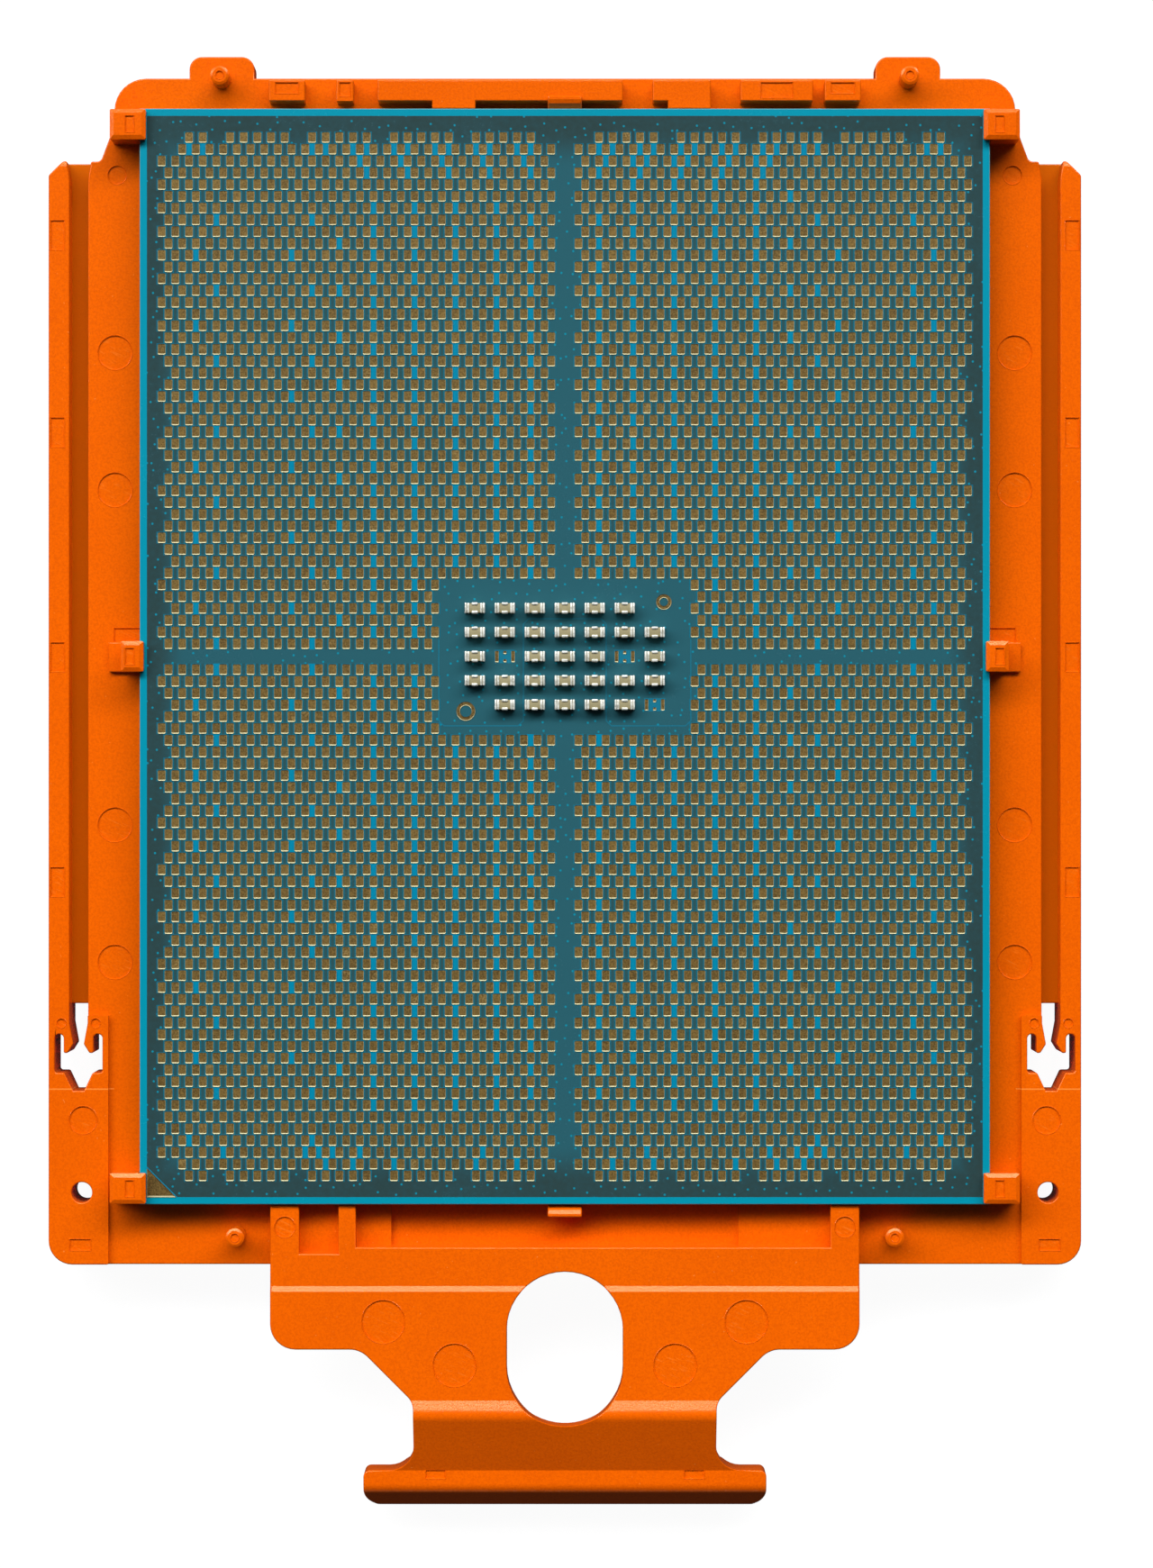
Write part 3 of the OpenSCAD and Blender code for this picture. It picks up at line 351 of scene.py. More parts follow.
def orangePlastic():
    plastic, shader, place = startFinish("orange moulded plastic", moulding["fixed"])
    clouds = place.noise(*moulding["cloud"]).between(*moulding["cloudSpan"])
    body = clouds.tones(moulding["dark"], moulding["light"])
    grain = place.noise(*moulding["grain"])
    grains = grain.between(*moulding["grainSpan"]) * moulding["grainShare"]
    grained = grains.tones(body, moulding["grained"])
    specks = place.noise(*moulding["speck"]).between(*moulding["speckSpan"]) * moulding["speckShare"]
    specked = specks.tones(grained, moulding["specked"])
    start, half, soft = moulding["lineFrom"], moulding["lineHalf"], moulding["lineSoft"]
    line = 1 - abs(axis(place, "Y") - moulding["lineY"]).between(half, half + soft)
    onRail = abs(axis(place, "X")).between(start, start + soft)
    lined = (line * onRail * moulding["lineShare"]).tones(specked, moulding["lined"])
    # painted shade: the rails' groove floors get a darker brown than the lamps alone give them
    grooveShade = (stored(place, "groove") * moulding["grooveShadeShare"]).tones(lined, moulding["grooveShade"])
    slanted = {
        "Vector": place, "Rotation": (0.0, 0.0, radians(moulding["scratchTurn"])),
        "Scale": (moulding["scratchLong"], 1.0, 1.0),
    }
    along = place.node("ShaderNodeMapping", {"vector_type": "TEXTURE"}, slanted)
    scratches = along.noise(*moulding["scratch"]).between(*moulding["scratchSpan"]) * stored(place, "sink")
    colour = (scratches * moulding["scratchShare"]).tones(grooveShade, moulding["scratched"])
    surface(shader, moulding, colour, grain, grain)
    return plastic


firing = {
    "roughness": (0.5, 0.2), "relief": (0.004, 0.5), "dark": (132, 122, 86), "light": (156, 147, 112),
    "grain": (0.07, 3.0, 0.7), "grainSpan": (0.3, 0.75), "tintShare": 0.4,
}


def ceramicBody():
    made, shader, place = startFinish("capacitor ceramic", {})
    grain = place.noise(*firing["grain"])
    tone = grain.between(*firing["grainSpan"]).blend(stored(place, "tint"), firing["tintShare"])
    surface(shader, firing, tone.tones(firing["dark"], firing["light"]), grain, grain)
    return made


tinning = {
    "fixed": {"Metallic": 0.35}, "roughness": (0.3, 0.2), "relief": (0.014, 0.6), "dark": (180, 183, 172),
    "light": (250, 252, 246), "grain": (0.09, 3.0, 0.6), "grainSpan": (0.3, 0.7), "smear": (0.32, 2.0),
    "smearSpan": (0.36, 0.62), "smearShare": 0.55,
}


def tinPlate():
    made, shader, place = startFinish("tinned terminal", tinning["fixed"])
    grain = place.noise(*tinning["grain"])
    smear = place.noise(*tinning["smear"]).between(*tinning["smearSpan"])
    tone = grain.between(*tinning["grainSpan"]).blend(smear, tinning["smearShare"])
    surface(shader, tinning, tone.tones(tinning["dark"], tinning["light"]), grain, grain)
    return made


nickelling = {
    "fixed": {"Metallic": 1.0}, "roughness": (0.24, 0.25), "relief": (0.004, 0.4), "dark": (168, 166, 158),
    "light": (222, 220, 212), "brush": (0.12, 4.0, 0.6), "brushStretch": 0.03, "blotch": (14.0, 3.0),
    "blotchShare": 0.4,
}


def nickelLid():
    nickel, shader, place = startFinish("nickel plated copper", nickelling["fixed"])
    stretch = {"Vector": place, "Scale": (nickelling["brushStretch"], 1.0, 1.0)}
    brush = place.node("ShaderNodeMapping", {}, stretch).noise(*nickelling["brush"])
    tone = brush.blend(place.noise(*nickelling["blotch"]), nickelling["blotchShare"])
    surface(shader, nickelling, tone.tones(nickelling["dark"], nickelling["light"]), brush, brush)
    return nickel


gold, tin, ceramic = goldPlate(), tinPlate(), ceramicBody()
print("finishes made")


# carrier: the moulding with its edges rounded over

carrier = {  # level and upright are limits on the z of a face's normal
    "edgeRadius": 0.1, "edgeSegments": 2, "roomAcross": 4.0, "sharpTurn": 35.0, "flatTurn": 0.5,
    "edgeTurn": 50.0, "wallTurn": 20.0, "weld": 0.0005, "level": 0.99, "upright": 0.1,
    "grooveHalf": 0.3, "grooveReach": 0.8,
}
sinkRim = {"deepest": 0.1, "outer": 0.11, "crest": 0.04, "inner": 0.05, "proud": 0.024, "root": 0.03}


def reachFrom(edge, face):  # how far a face reaches from one of its edges
    start = edge.verts[0].co
    along = (edge.verts[1].co - start).normalized()
    return max((v.co - start).cross(along).length for v in face.verts)


def shadeRounded(mesh, rounded):  # flats stay flat, round walls and rounded edges turn smoothly
    mesh.shade_smooth()
    around = [[] for _ in mesh.vertices]
    for face in mesh.polygons:
        for v in face.vertices:
            around[v].append(face)
    turned, sides = {}, {}
    for face in mesh.polygons:
        reach = radians(carrier["edgeTurn"] if face.index in rounded else carrier["wallTurn"])
        for v in face.vertices:
            near = [f for f in around[v] if f.normal.angle(face.normal) < reach]
            walls = [f for f in near if f.index not in rounded]
            turned[face.index, v] = sum((f.normal * f.area for f in walls or near), Vector()).normalized()
        for key in face.edge_keys:
            sides.setdefault(key, []).append(face.index)
    for edge in mesh.edges:
        first, second = sides[edge.key]
        bends = [turned[first, v].angle(turned[second, v]) for v in edge.vertices]
        edge.use_edge_sharp = max(bends) > radians(carrier["flatTurn"])
    mesh.normals_split_custom_set([turned[face.index, v] for face in mesh.polygons for v in face.vertices])


def sinkFloors(work, sunk):  # marks floors that lie just below their surroundings, and gives their depth
    floors = []
    for face in work.faces:
        walls = [(e, f) for e in face.edges for f in e.link_faces if f is not face]
        steep = all(not e.is_convex and abs(f.normal.z) < carrier["upright"] for e, f in walls)
        if face.normal.z > carrier["level"] and steep:
            depth = min(reachFrom(e, f) for e, f in walls)
            if depth < sinkRim["deepest"]:
                face[sunk] = 1.0
                floors.append(([v.co.copy() for v in face.verts], depth))
    return floors


def rimRound(floor, depth):  # low ridge that a mould pin leaves round its mark
    outline, low = [p.xy for p in floor], floor[0].z
    count = len(outline)
    levels = (
        (-sinkRim["outer"], low + depth - sinkRim["root"]),
        (-sinkRim["crest"], low + depth + sinkRim["proud"]),
        (sinkRim["inner"], low - sinkRim["root"]),
    )
    points = [(x, y, z) for width, z in levels for x, y in insetOutline(outline, [width] * count)]
    faces = [
        (k * count + i, k * count + (i + 1) % count, j * count + (i + 1) % count, j * count + i)
        for k, j in ((0, 1), (1, 2), (2, 0)) for i in range(count)
    ]
    return points, faces


def addShell(work, points, faces):
    made = [work.verts.new(p) for p in points]
    for face in faces:
        work.faces.new([made[i] for i in face])


def markGrooves(work, groove):  # the rails' groove floors, which the plastic finish paints darker as shade
    found = 0
    for mount in frame["record"]["mounts"]:
        if mount["kind"] == "slide":
            middle = Vector(mount["pos_m"]) / mm
            for face in work.faces:
                off = face.calc_center_median() - middle
                level = face.normal.z > carrier["level"]
                if level and abs(off.x) < carrier["grooveHalf"] and abs(off.z) < carrier["grooveReach"]:
                    face[groove] = 1.0
                    found += 1
    return found


def carrierMoulding():
    work = bmesh.new()
    work.from_mesh(frame["nodes"]["carrier_frame"].data)
    sunk, groove = (work.faces.layers.float.new(name) for name in ("sink", "groove"))
    bmesh.ops.scale(work, vec=Vector((1, 1, 1)) / mm, verts=work.verts)
    bmesh.ops.remove_doubles(work, verts=work.verts, dist=carrier["weld"])
    turn = radians(carrier["flatTurn"])
    bmesh.ops.dissolve_limit(work, angle_limit=turn, verts=work.verts, edges=work.edges)
    floors = sinkFloors(work, sunk)
    print("grooves:", markGrooves(work, groove), "floors")
    room = carrier["roomAcross"] * carrier["edgeRadius"]
    rims = [
        e for e in work.edges
        if len(e.link_faces) == 2 and e.is_convex and e.calc_face_angle() > radians(carrier["sharpTurn"])
        and min(reachFrom(e, f) for f in e.link_faces) > room
    ]
    made = roundOver(work, rims, carrier["edgeRadius"], carrier["edgeSegments"], False)
    for floor, depth in floors:
        addShell(work, *rimRound(floor, depth))
    work.verts.index_update()
    inOrder = sorted(work.faces, key=lambda face: sorted(v.index for v in face.verts))
    for place, face in enumerate(inOrder):  # a bevel lists its faces in another order each run
        face.index = place
    rounded = {f.index for f in made["faces"]}
    work.faces.sort()
    loose = sum(1 for e in work.edges if len(e.link_faces) != 2)
    print("carrier:", len(rims), "edges rounded,", len(floors), "sinks rimmed,", loose, "open edges")
    mesh = meshFromWork("carrier moulding", work)
    shadeRounded(mesh, rounded)
    return newPiece("carrier_moulding", mesh)


dress(carrierMoulding(), orangePlastic(), "carrier_plastic", "carrier_frame")


# lands: where they lie, by rows and columns from the outside in

lands = {  # street: from a middle line to the nearest land, window: the rows beside the capacitors
    "pitchX": 0.94, "pitchY": 0.81, "streetX": 0.94, "streetY": 0.89, "lastColumn": 28, "lastRow": 43,
    "windowRow": 38, "windowColumns": (20, 19), "width": 0.54, "length": 0.73, "corner": 0.06,
    "depth": 0.028, "lowSlope": 0.063, "slope": 0.035, "buried": 0.05, "taper": 0.03, "tintSpread": 1.0,
    "sideShine": 0.4, "leastUp": 0.05,
}
edgeRow = {"from": 2, "step": 6, "missing": 4}  # the outermost row starts late and lacks one land in six
notchRows = {"from": 20, "step": 4}  # rows that lack their outermost land, besides row 1
everyThird = range(14, lands["lastColumn"], 3)
twoInThree = [gap for gap in range(10, lands["lastColumn"]) if gap % 3]
upperBare = {1: {1, 2, *twoInThree}, 2: everyThird, 3: everyThird}  # bare gaps of the rows inside row 0
lowerBare = {1: {11, 13, 16, 22, 25}, 2: {4, 10, 11, 12, 14, 23}, 3: {1, 10}}
innerBare = (  # bare gaps of every so many rows, some of which start early in the upper right quarter
    {"from": 6, "step": 2, "early": 4, "gaps": (15, 18, 21, 24)},
    {"from": 10, "step": 6, "early": 0, "gaps": (2, 9)},
    {"from": 7, "step": 2, "early": 0, "gaps": (26,)},
    {"from": 7, "step": 6, "early": 0, "gaps": (3, 10)},
    {"from": 9, "step": 4, "early": 4, "gaps": (12,)},
)


def rowStart(row):  # where the innermost land of a row lies
    return lands["streetX"] + (lands["pitchX"] / 2 if row % 2 == 0 else 0)


def isLand(row, column):
    inner = lands["windowColumns"][row % 2] if row >= lands["windowRow"] else lands["lastColumn"]
    if not 0 <= row <= lands["lastRow"] or not 0 <= column <= inner:
        return False
    if row == 0:
        return column >= edgeRow["from"] and column % edgeRow["step"] != edgeRow["missing"]
    return column > 0 or not (row == 1 or row >= notchRows["from"] and row % notchRows["step"] == 0)


def isBare(upper, right, row, gap):  # no copper under the mask between lands gap and gap + 1
    if not isLand(row, gap) or not isLand(row, gap + 1):
        return False
    if gap in (upperBare if upper else lowerBare).get(row, ()):
        return True
    for rule in innerBare:
        start = rule["from"] - (rule["early"] if upper and right else 0)
        if gap in rule["gaps"] and row >= start and (row - start) % rule["step"] == 0:
            return True
    return False


def dished(outline, widths, at=(0, 0)):  # closed metal pad with a sunk floor, rim at the contact face
    count = len(outline)
    inner = insetOutline(outline, widths)
    under = insetOutline(outline, [lands["taper"]] * count)
    floorZ = faceZ - lands["depth"]
    layers = ((under, floorZ - lands["buried"]), (outline, faceZ), (inner, floorZ))
    points = [(x + at[0], y + at[1], z) for ring, z in layers for x, y in ring]
    sides = [
        (k * count + i, k * count + (i + 1) % count, (k + 1) * count + (i + 1) % count, (k + 1) * count + i)
        for k in range(2) for i in range(count)
    ]
    return points, [tuple(reversed(range(count))), tuple(range(2 * count, 3 * count)), *sides]


def markRimHighlights(mesh):  # how much painted highlight each face gets: slopes that face +Y, toward the lamps, the most, the sides some
    rims = []
    for face in mesh.polygons:
        shine = max(abs(face.normal.x) * lands["sideShine"], face.normal.y, 0.0)
        rims.append(shine if face.normal.z > lands["leastUp"] else 0.0)
    mesh.attributes.new("rim", "FLOAT", "FACE").data.foreach_set("value", rims)
    return mesh


def cutRectangle(width, length, corner):  # from the lower left, counter-clockwise, the lower side first
    x, y = width / 2, length / 2
    return [
        (-x + corner, -y), (x - corner, -y), (x, -y + corner), (x, y - corner),
        (x - corner, y), (-x + corner, y), (-x, y - corner), (-x, -y + corner),
    ]


def landShape():
    low, side = lands["lowSlope"], lands["slope"]
    turned = (low + side) / 2
    widths = [low, turned, side, side, side, side, side, turned]
    outline = cutRectangle(lands["width"], lands["length"], lands["corner"])
    return markRimHighlights(meshFrom("land", *dished(outline, widths)))


corners = {"upper_left": (-1, 1), "upper_right": (1, 1), "lower_left": (-1, -1), "lower_right": (1, -1)}
for seed, (corner, (sideX, sideY)) in enumerate(corners.items()):
    places = []
    for row in range(lands["lastRow"] + 1):
        y = lands["streetY"] + (lands["lastRow"] - row) * lands["pitchY"]
        for column in range(lands["lastColumn"] + 1):
            if isLand(row, column):
                x = rowStart(row) + (lands["lastColumn"] - column) * lands["pitchX"]
                places.append((sideX * x, sideY * y, 0))
    field = setCopies("lands_" + corner, places, landShape(), gold, lands["tintSpread"], seed)
    topMap(field.data)
    dress(field, gold, "gold", "contact_lands_" + corner)
    print("lands", corner, len(places), "copies,", len(field.data.polygons), "faces")


# where the capacitors, the unfilled places and the rings lie

caps = {  # in the map, c is a capacitor, p an unfilled place with its pads
    "pitch": (2.06, 1.66), "map": ("cccccc-", "ccccccc", "cpcccpc", "ccccccc", "-cccccp"),
    "body": (1.29, 0.64, 0.67), "overhang": 0.04, "bodyEdge": 0.04, "endCap": (0.13, 0.7, 0.75),
    "wrap": (0.15, 0.68, 0.72), "seam": 0.03, "endEdge": 0.045, "tab": (0.42, 0.17, 0.75), "tabProud": 0.02,
    "tabEdge": 0.05, "solder": 0.24, "solderSpread": 0.02, "edgeSegments": 2, "solderSegments": 1,
    "smoothTurn": 40.0, "tintSpread": 1.0, "bodySeed": 11, "terminalSeed": 12,
}
spare = {"bed": (1.46, 0.92), "bedTone": 0.6, "end": 0.25, "tab": 0.21, "length": 0.78}
rings = {"large": (1.3, 0.8), "small": (1.06, 0.58), "shift": (0.63, 0.44), "slope": 0.04, "steps": 48}


def capPlaces(kind):
    rows = caps["map"]
    return [
        ((c - (len(line) - 1) / 2) * caps["pitch"][0], ((len(rows) - 1) / 2 - r) * caps["pitch"][1], 0)
        for r, line in enumerate(rows) for c, letter in enumerate(line) if letter == kind
    ]


# board: one sheet of mask over copper, with bare tiles, plane splits and a cut edge

board = {
    "sunk": 0.045, "band": 0.5, "edge": 0.05, "gridDigits": 5, "landHalf": 0.25, "landReach": 0.3,
    "splitWidth": 0.06, "splitProud": 0.004, "splitRoot": 0.02, "splitOuter": 8.67, "splitInner": 2.85,
    "splitLow": -4.77, "splitHigh": 2.6, "splitEnd": 1.18, "splitCut": 0.36, "splitTone": 0.6,
    "sharpestLean": 0.5, "markLine": 0.06, "markTone": 1.0,
}
maskZ = faceZ - board["sunk"]


def gridLines(half, start, step):  # both ways from the middle, then the band's and the cut edge's lines
    inside = [start + k * step for k in range(int((half - board["band"] - start) / step) + 1)]
    steps = [*inside, half - board["band"], half - board["edge"], half]
    return sorted({round(s * v, board["gridDigits"]) for v in steps for s in (-1, 1)})


def tileFacts(xs, ys):  # what one tile is, and whether its left and right sides lie at a land
    midX, midY = abs(sum(xs)) / 2, abs(sum(ys)) / 2
    cut = midX > halfWide - board["edge"] or midY > halfLong - board["edge"]
    band = midX > halfWide - board["band"] or midY > halfLong - board["band"]
    row = lands["lastRow"] - round((midY - lands["streetY"]) / lands["pitchY"])
    spots = [(abs(x) - rowStart(row)) / lands["pitchX"] for x in xs]
    near = []
    for spot in spots:
        within = abs(spot - round(spot)) < board["landReach"]
        near.append(float(within and isLand(row, lands["lastColumn"] - round(spot))))
    middle = sum(spots) / 2
    if abs(middle - round(middle)) < board["landHalf"]:  # a land's own column
        covered, bare = isLand(row, lands["lastColumn"] - round(middle)), False
    else:
        gap = lands["lastColumn"] - 1 - int(middle // 1)
        covered = isLand(row, gap) and isLand(row, gap + 1)
        bare = isBare(sum(ys) > 0, sum(xs) > 0, row, gap)
    return {"bare": bare, "open": not covered and not band, "band": band, "cut": cut, "near": near}


def boardSheet():
    quarter = lands["pitchX"] / 4
    xs = gridLines(halfWide, 0.0, quarter)
    ys = gridLines(halfLong, lands["streetY"] - lands["pitchY"] / 2, lands["pitchY"])
    wide, long = len(xs), len(ys)
    points, faces, facts = [], [], []
    for y in ys:
        for x in xs:
            rim = abs(x) > halfWide - board["edge"] / 2 or abs(y) > halfLong - board["edge"] / 2
            points.append((x, y, maskZ - board["edge"] if rim else maskZ))
    for j in range(long - 1):
        for i in range(wide - 1):
            k = j * wide + i
            faces.append((k, k + 1, k + 1 + wide, k + wide))
            facts.append(tileFacts((xs[i], xs[i + 1]), (ys[j], ys[j + 1])))
    loop = [*range(wide), *range(2 * wide - 1, wide * long, wide),  # the sheet's rim, counter-clockwise
            *range(wide * long - 2, wide * (long - 1) - 1, -1), *range(wide * (long - 2), 0, -wide)]
    under = {k: len(points) + n for n, k in enumerate(loop)}
    points += [(points[k][0], points[k][1], seatZ) for k in loop]
    for a, b in zip(loop, loop[1:] + loop[:1]):
        faces.append((b, a, under[a], under[b]))
    lower, upper = [under[k] for k in range(wide)], [under[wide * (long - 1) + k] for k in range(wide)]
    left = [under[j * wide] for j in range(1, long - 1)]
    right = [under[j * wide + wide - 1] for j in range(1, long - 1)]
    strips = [[lower[i], upper[i], upper[i + 1], lower[i + 1]] for i in range(wide - 1)]  # the underside
    strips[0][1:1] = left
    strips[-1][3:3] = reversed(right)
    return points, faces + strips, facts


def ribbon(path, width):  # a low closed strip along a path on the mask
    count = len(path)
    rails = []
    for i, p in enumerate(path):
        before = Vector(p) - Vector(path[max(i - 1, 0)])
        after = Vector(path[min(i + 1, count - 1)]) - Vector(p)
        along = (before.normalized() + after.normalized()).normalized()
        lean = max(along.dot((after if after.length else before).normalized()), board["sharpestLean"])
        side = Vector((-along.y, along.x)) * width / 2 / lean
        rails.append((Vector(p) + side, Vector(p) - side))
    top, base = maskZ + board["splitProud"], maskZ - board["splitRoot"]
    points = [(q.x, q.y, z) for a, b in rails for q, z in ((a, top), (b, top), (b, base), (a, base))]
    faces = [
        (4 * i + k, 4 * i + (k + 1) % 4, 4 * i + 4 + (k + 1) % 4, 4 * i + 4 + k)
        for i in range(count - 1) for k in range(4)
    ]
    return points, faces + [(3, 2, 1, 0), tuple(4 * (count - 1) + k for k in range(4))]


def planeSplit():  # the line between two copper planes round the capacitors
    outer, inner, low, high = (board[k] for k in ("splitOuter", "splitInner", "splitLow", "splitHigh"))
    cut = board["splitCut"]
    right = [
        (inner - cut, high), (inner, high - cut), (inner, low + cut), (inner + cut, low),
        (outer - cut, low), (outer, low + cut), (outer, board["splitEnd"]),
    ]
    return [(-x, y) for x, y in reversed(right)] + right


def boardPiece():
    points, faces, facts = boardSheet()
    markLow, markHigh = (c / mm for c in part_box("corner_mark"))
    slant = [(markLow.x, markHigh.y + board["markLine"]), (markHigh.x + board["markLine"], markLow.y)]
    strips = [ribbon(planeSplit(), board["splitWidth"]), ribbon(slant, board["markLine"])]
    tones = [board["splitTone"], board["markTone"]]
    wide, deep = spare["bed"]
    for x, y, z in capPlaces("p"):
        strips.append(ribbon([(x - wide / 2, y), (x + wide / 2, y)], deep))
        tones.append(spare["bedTone"])
    points, faces = joined([(points, faces), *strips])
    mesh = meshFrom("board", points, faces)
    bared = [tone for tone, strip in zip(tones, strips) for face in strip[1]]
    others = len(faces) - len(facts) - len(bared)  # the sides and the underside, cut like the edge
    for name in ("bare", "open", "band", "cut"):
        values = [float(tile[name]) for tile in facts] + [float(name == "cut")] * others
        values += bared if name == "bare" else [0.0] * len(bared)
        mesh.attributes.new(name, "FLOAT", "FACE").data.foreach_set("value", values)
    near = [tile["near"][side] for tile in facts for side in (0, 1, 1, 0)]
    near += [0.0] * (len(mesh.loops) - len(near))
    mesh.attributes.new("landEdge", "FLOAT", "CORNER").data.foreach_set("value", near)
    return newPiece("masked_board", mesh)


boardObject = boardPiece()
dress(boardObject, maskedLaminate(), "laminate", "substrate")
print("board made,", len(boardObject.data.polygons), "faces")


# marks on the board: corner triangle, target rings and the pads of unfilled places

marks = {"lowSlope": 0.1, "slope": 0.05, "padLow": 0.06, "padSide": 0.03, "padCorner": 0.03}


def cornerTriangle():
    low, high = (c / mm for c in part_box("corner_mark"))
    outline = [(low.x, low.y), (high.x, low.y), (low.x, high.y)]
    return meshFrom("triangle", *dished(outline, [marks["lowSlope"], marks["slope"], marks["slope"]]))


def targetRing(centre, outer, inner):  # a gold band with a sunk middle
    floorZ, slope = faceZ - lands["depth"], rings["slope"]
    baseZ = floorZ - lands["buried"]
    profile = [
        (outer - slope / 2, baseZ), (outer, faceZ), (outer - slope, floorZ),
        (inner + slope, floorZ), (inner, faceZ), (inner + slope / 2, baseZ),
    ]
    steps, count = rings["steps"], len(profile)
    points = [
        (centre[0] + r * cos(2 * pi * s / steps), centre[1] + r * sin(2 * pi * s / steps), z)
        for s in range(steps) for r, z in profile
    ]
    faces = [
        (s * count + k, (s + 1) % steps * count + k,
         (s + 1) % steps * count + (k + 1) % count, s * count + (k + 1) % count)
        for s in range(steps) for k in range(count)
    ]
    return points, faces


def targetRings():
    rows, columns = len(caps["map"]), len(caps["map"][0])
    x = (columns - 1) / 2 * caps["pitch"][0] + rings["shift"][0]
    y = (rows - 1) / 2 * caps["pitch"][1] + rings["shift"][1]
    large = targetRing((-x, -y), *(d / 2 for d in rings["large"]))
    small = targetRing((x, y), *(d / 2 for d in rings["small"]))
    return meshFrom("rings", *joined([large, small]))


def sparePads():
    length, end, tab, corner = spare["length"], spare["end"], spare["tab"], marks["padCorner"]
    endPad, tabPad = cutRectangle(end, length, corner), cutRectangle(tab, tab, corner)
    widths = [marks["padLow"]] + [marks["padSide"]] * (len(endPad) - 1)
    endX = caps["body"][0] / 2 + caps["overhang"] - end / 2
    tabY = (length - tab) / 2
    parts = []
    for x, y, z in capPlaces("p"):
        for s in (-1, 1):
            parts.append(dished(endPad, widths, (x + s * endX, y)))
            parts.append(dished(tabPad, widths, (x, y + s * tabY)))
    return meshFrom("spare pads", *joined(parts))


for name, mesh, node in (
    ("triangle_mark", cornerTriangle(), "corner_mark"),
    ("target_rings", targetRings(), "fiducial_rings"),
    ("spare_pads", sparePads(), "spare_footprint_pads"),
):
    mark = newPiece(name, mesh)
    topMap(markRimHighlights(mark.data))
    dress(mark, gold, "gold", node)
print("marks made")


# capacitors: ceramic bodies, and their tinned ends, tabs and solder

def roundedBox(work, size, at, radius, segments, spread=0.0):  # stands on the contact face, its foot spread
    made = bmesh.ops.create_cube(work, size=1.0)["verts"]
    centre = (*at, faceZ + size[2] / 2)
    for v in made:
        grow = 2 * spread if v.co.z < 0 else 0.0
        grown = (size[0] + grow, size[1] + grow, size[2])
        v.co = [c * s + m for c, s, m in zip(v.co, grown, centre)]
    edges = list({e for v in made for e in v.link_edges})
    roundOver(work, edges, radius, segments, True)


def capMesh(name, work):
    mesh = meshFromWork(name, work)
    smooth(mesh, caps["smoothTurn"])
    return mesh


def capBody():
    work = bmesh.new()
    roundedBox(work, caps["body"], (0, 0), caps["bodyEdge"], caps["edgeSegments"])
    return capMesh("capacitor body", work)


def capTerminals():  # each end a cap and the band it wraps on, each long side a tab, all on solder
    work = bmesh.new()
    endX = caps["body"][0] / 2 + caps["overhang"] - caps["endCap"][0] / 2
    wrapX = endX - (caps["endCap"][0] + caps["wrap"][0]) / 2 - caps["seam"]
    tabY = (caps["endCap"][1] - caps["tab"][1]) / 2 + caps["tabProud"]
    for s in (-1, 1):
        parts = (
            (caps["endCap"], (s * endX, 0), caps["endEdge"]),
            (caps["wrap"], (s * wrapX, 0), caps["endEdge"]),
            (caps["tab"], (0, s * tabY), caps["tabEdge"]),
        )
        for size, at, edge in parts:
            roundedBox(work, size, at, edge, caps["edgeSegments"])
            foot = (size[0], size[1], caps["solder"])
            roundedBox(work, foot, at, edge, caps["solderSegments"], caps["solderSpread"])
    return capMesh("capacitor terminals", work)


filled = capPlaces("c")
bodies = setCopies("capacitor_bodies", filled, capBody(), ceramic, caps["tintSpread"], caps["bodySeed"])
dress(bodies, ceramic, "ceramic", *[f"capacitor_{k:02d}" for k in range(1, len(filled) + 1)])
ends = capTerminals()
terminals = setCopies("capacitor_terminals", filled, ends, tin, caps["tintSpread"], caps["terminalSeed"])
dress(terminals, tin, "solder")
print("capacitors made,", len(filled), "places")


# lid and what it covers keep their own solids

underLid = {  # two tones and a fine grain each
    "black adhesive": {
        "fixed": {}, "grain": 0.6, "dark": (26, 26, 28), "light": (44, 44, 46), "roughness": (0.55, 0.15),
    },
    "polished silicon": {
        "fixed": {"Metallic": 0.6}, "grain": 0.5, "dark": (70, 74, 84), "light": (96, 100, 112),
        "roughness": (0.12, 0.15),
    },
    "thermal solder": {
        "fixed": {"Metallic": 1.0}, "grain": 0.3, "dark": (176, 176, 172), "light": (214, 214, 210),
        "roughness": (0.35, 0.15),
    },
    "underfill resin": {
        "fixed": {}, "grain": 0.4, "dark": (34, 28, 24), "light": (58, 48, 40), "roughness": (0.3, 0.15),
    },
}
underLidGrain = {"span": (0.3, 0.7), "relief": (0.006, 0.4)}


def mottled(name):
    look = {**underLidGrain, **underLid[name]}
    made, shader, place = startFinish(name, look["fixed"])
    grain = place.noise(look["grain"])
    colour = grain.between(*look["span"]).tones(look["dark"], look["light"])
    surface(shader, look, colour, grain, grain)
    return made


lidFinishes = {  # the first of these words that a solid's name holds decides
    "heat_spreader": nickelLid(),
    "lid_adhesive": mottled("black adhesive"),
    "die_side_capacitors": ceramic,
    "_die_solder": mottled("thermal solder"),
    "_die_underfill": mottled("underfill resin"),
    "_die": mottled("polished silicon"),
}
for name, node in frame["nodes"].items():
    fitting = [finish for word, finish in lidFinishes.items() if word in name]
    if fitting:
        node.data.materials.clear()
        node.data.materials.append(fitting[0])
print("lid and dies dressed")


# floor, light and camera

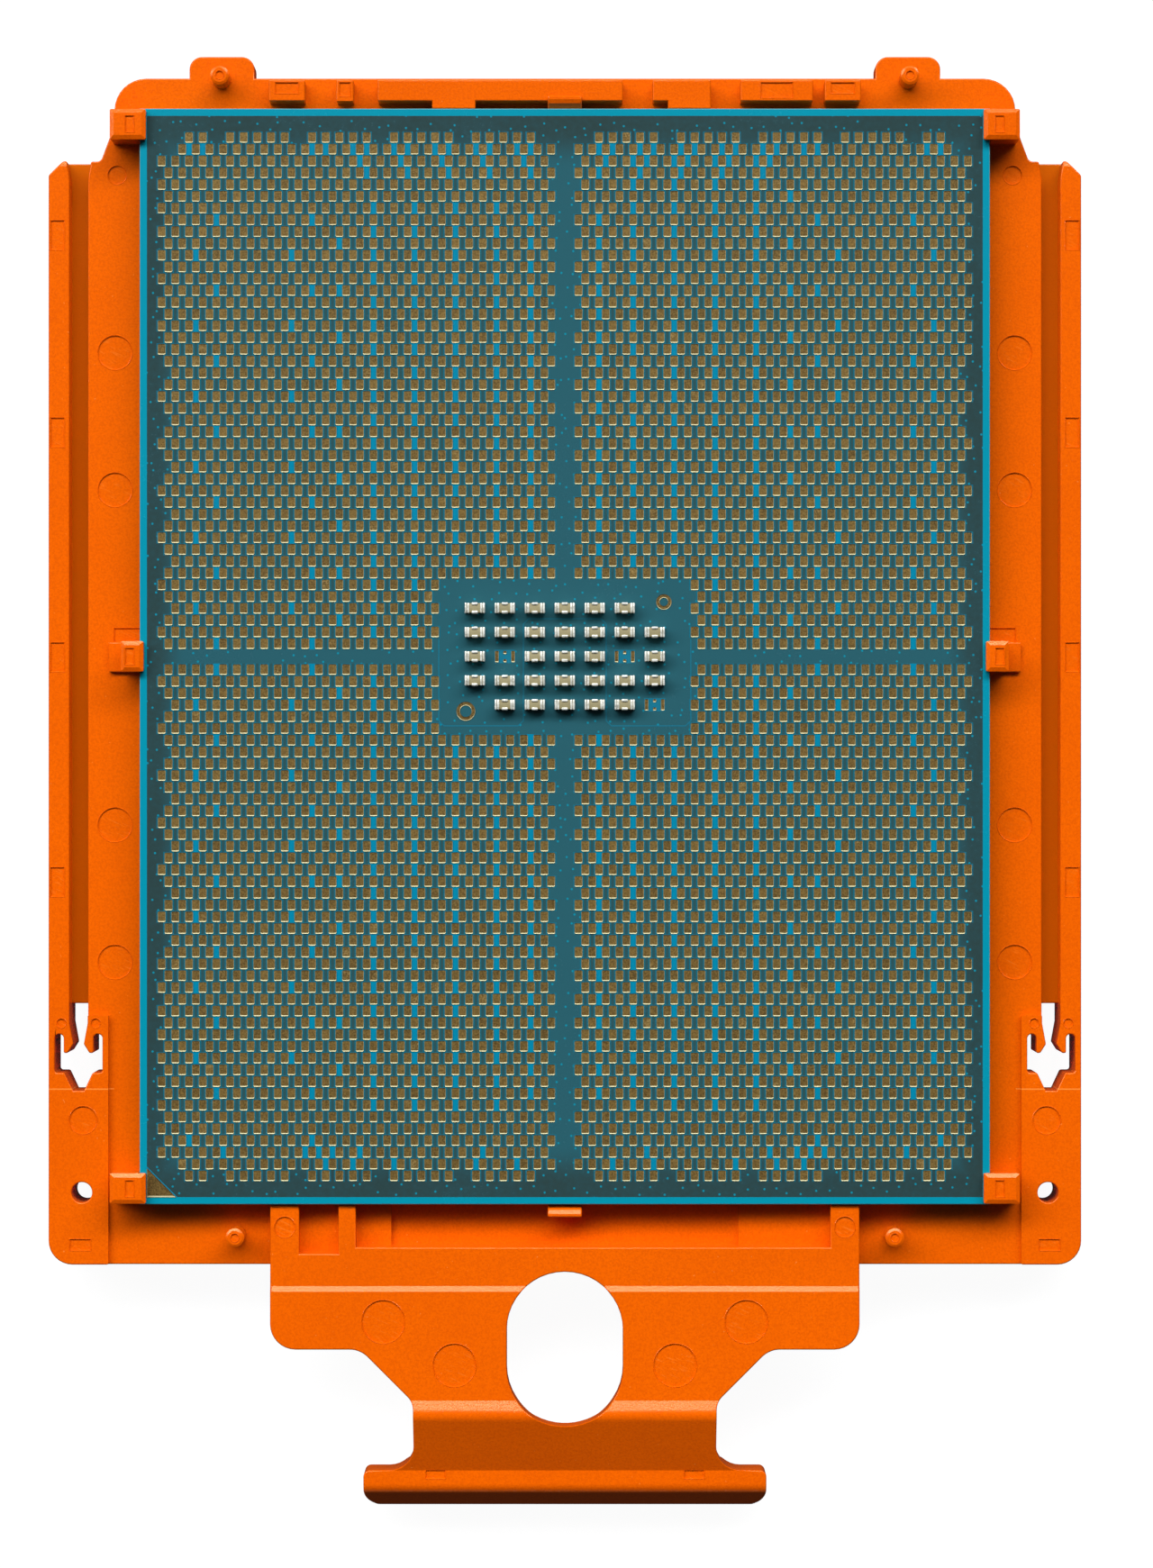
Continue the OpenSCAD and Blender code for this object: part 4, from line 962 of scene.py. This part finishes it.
shot = {
    "middle": (0.805, -8.77), "above": 280.0, "frameHigh": 107.87, "sensor": 36.0, "floorSide": 6000.0,
    "floorGap": 0.02, "fill": 0.025,
}
paper = {
    "fixed": {"Specular IOR Level": 0.0, "Emission Strength": 0.955, "Emission Color": (1, 1, 1, 1)},
    "fibre": (1.4, 3.0), "dark": (84, 84, 84), "light": (96, 96, 96), "roughness": (0.8, 0.1),
}
lamps = {  # far from the part, angle above the floor, turn from +Y, size and power
    "key low": {"far": 4000.0, "up": 42.5, "turn": -10.0, "size": (11200.0, 680.0), "power": 340.0},
    "key middle": {"far": 4000.0, "up": 51.5, "turn": -10.0, "size": (11200.0, 600.0), "power": 169.0},
    "key high": {"far": 4000.0, "up": 60.0, "turn": -10.0, "size": (11200.0, 580.0), "power": 32.0},
    "front": {"far": 2000.0, "up": 7.0, "turn": 180.0, "size": (4000.0, 300.0), "power": 2.3},
}


def setFloor():
    side, z = shot["floorSide"] / 2, -shot["floorGap"]
    square = [(-side, -side, z), (side, -side, z), (side, side, z), (-side, side, z)]
    floor = newPiece("floor", meshFrom("floor", square, [(0, 1, 2, 3)]))
    made, shader, place = startFinish("white paper", paper["fixed"])
    fibre = place.noise(*paper["fibre"])
    base, swing = paper["roughness"]
    feed(shader, colour=fibre.tones(paper["dark"], paper["light"]), roughness=base + fibre * swing)
    floor.data.materials.append(made)
    floor.visible_diffuse = floor.visible_glossy = False  # bounces no light up


def setLights():
    for name, lamp in lamps.items():
        light = bpy.data.lights.new(name, "AREA")
        light.shape, light.energy = "RECTANGLE", lamp["power"]
        light.size, light.size_y = (s * mm for s in lamp["size"])
        held = bpy.data.objects.new(name, light)
        scene.collection.objects.link(held)
        up, turn = radians(lamp["up"]), radians(lamp["turn"])
        toLamp = Vector((sin(turn) * cos(up), cos(turn) * cos(up), sin(up)))
        held.location = toLamp * lamp["far"] * mm
        held.rotation_euler = toLamp.to_track_quat("Z", "Y").to_euler()
    world = bpy.data.worlds.new("fill")
    world.use_nodes = True
    world.node_tree.nodes["Background"].inputs["Color"].default_value = (shot["fill"],) * 3 + (1.0,)
    scene.world = world


def setCamera():
    lens = bpy.data.cameras.new("camera")
    lens.sensor_width = shot["sensor"]
    lens.lens = shot["sensor"] * shot["above"] / shot["frameHigh"]
    camera = bpy.data.objects.new("camera", lens)
    camera.location = Vector((*shot["middle"], faceZ + shot["above"])) * mm
    scene.collection.objects.link(camera)
    scene.camera = camera


setFloor()
setLights()
setCamera()
scene.view_settings.view_transform = "Standard"
print("floor, light and camera set")
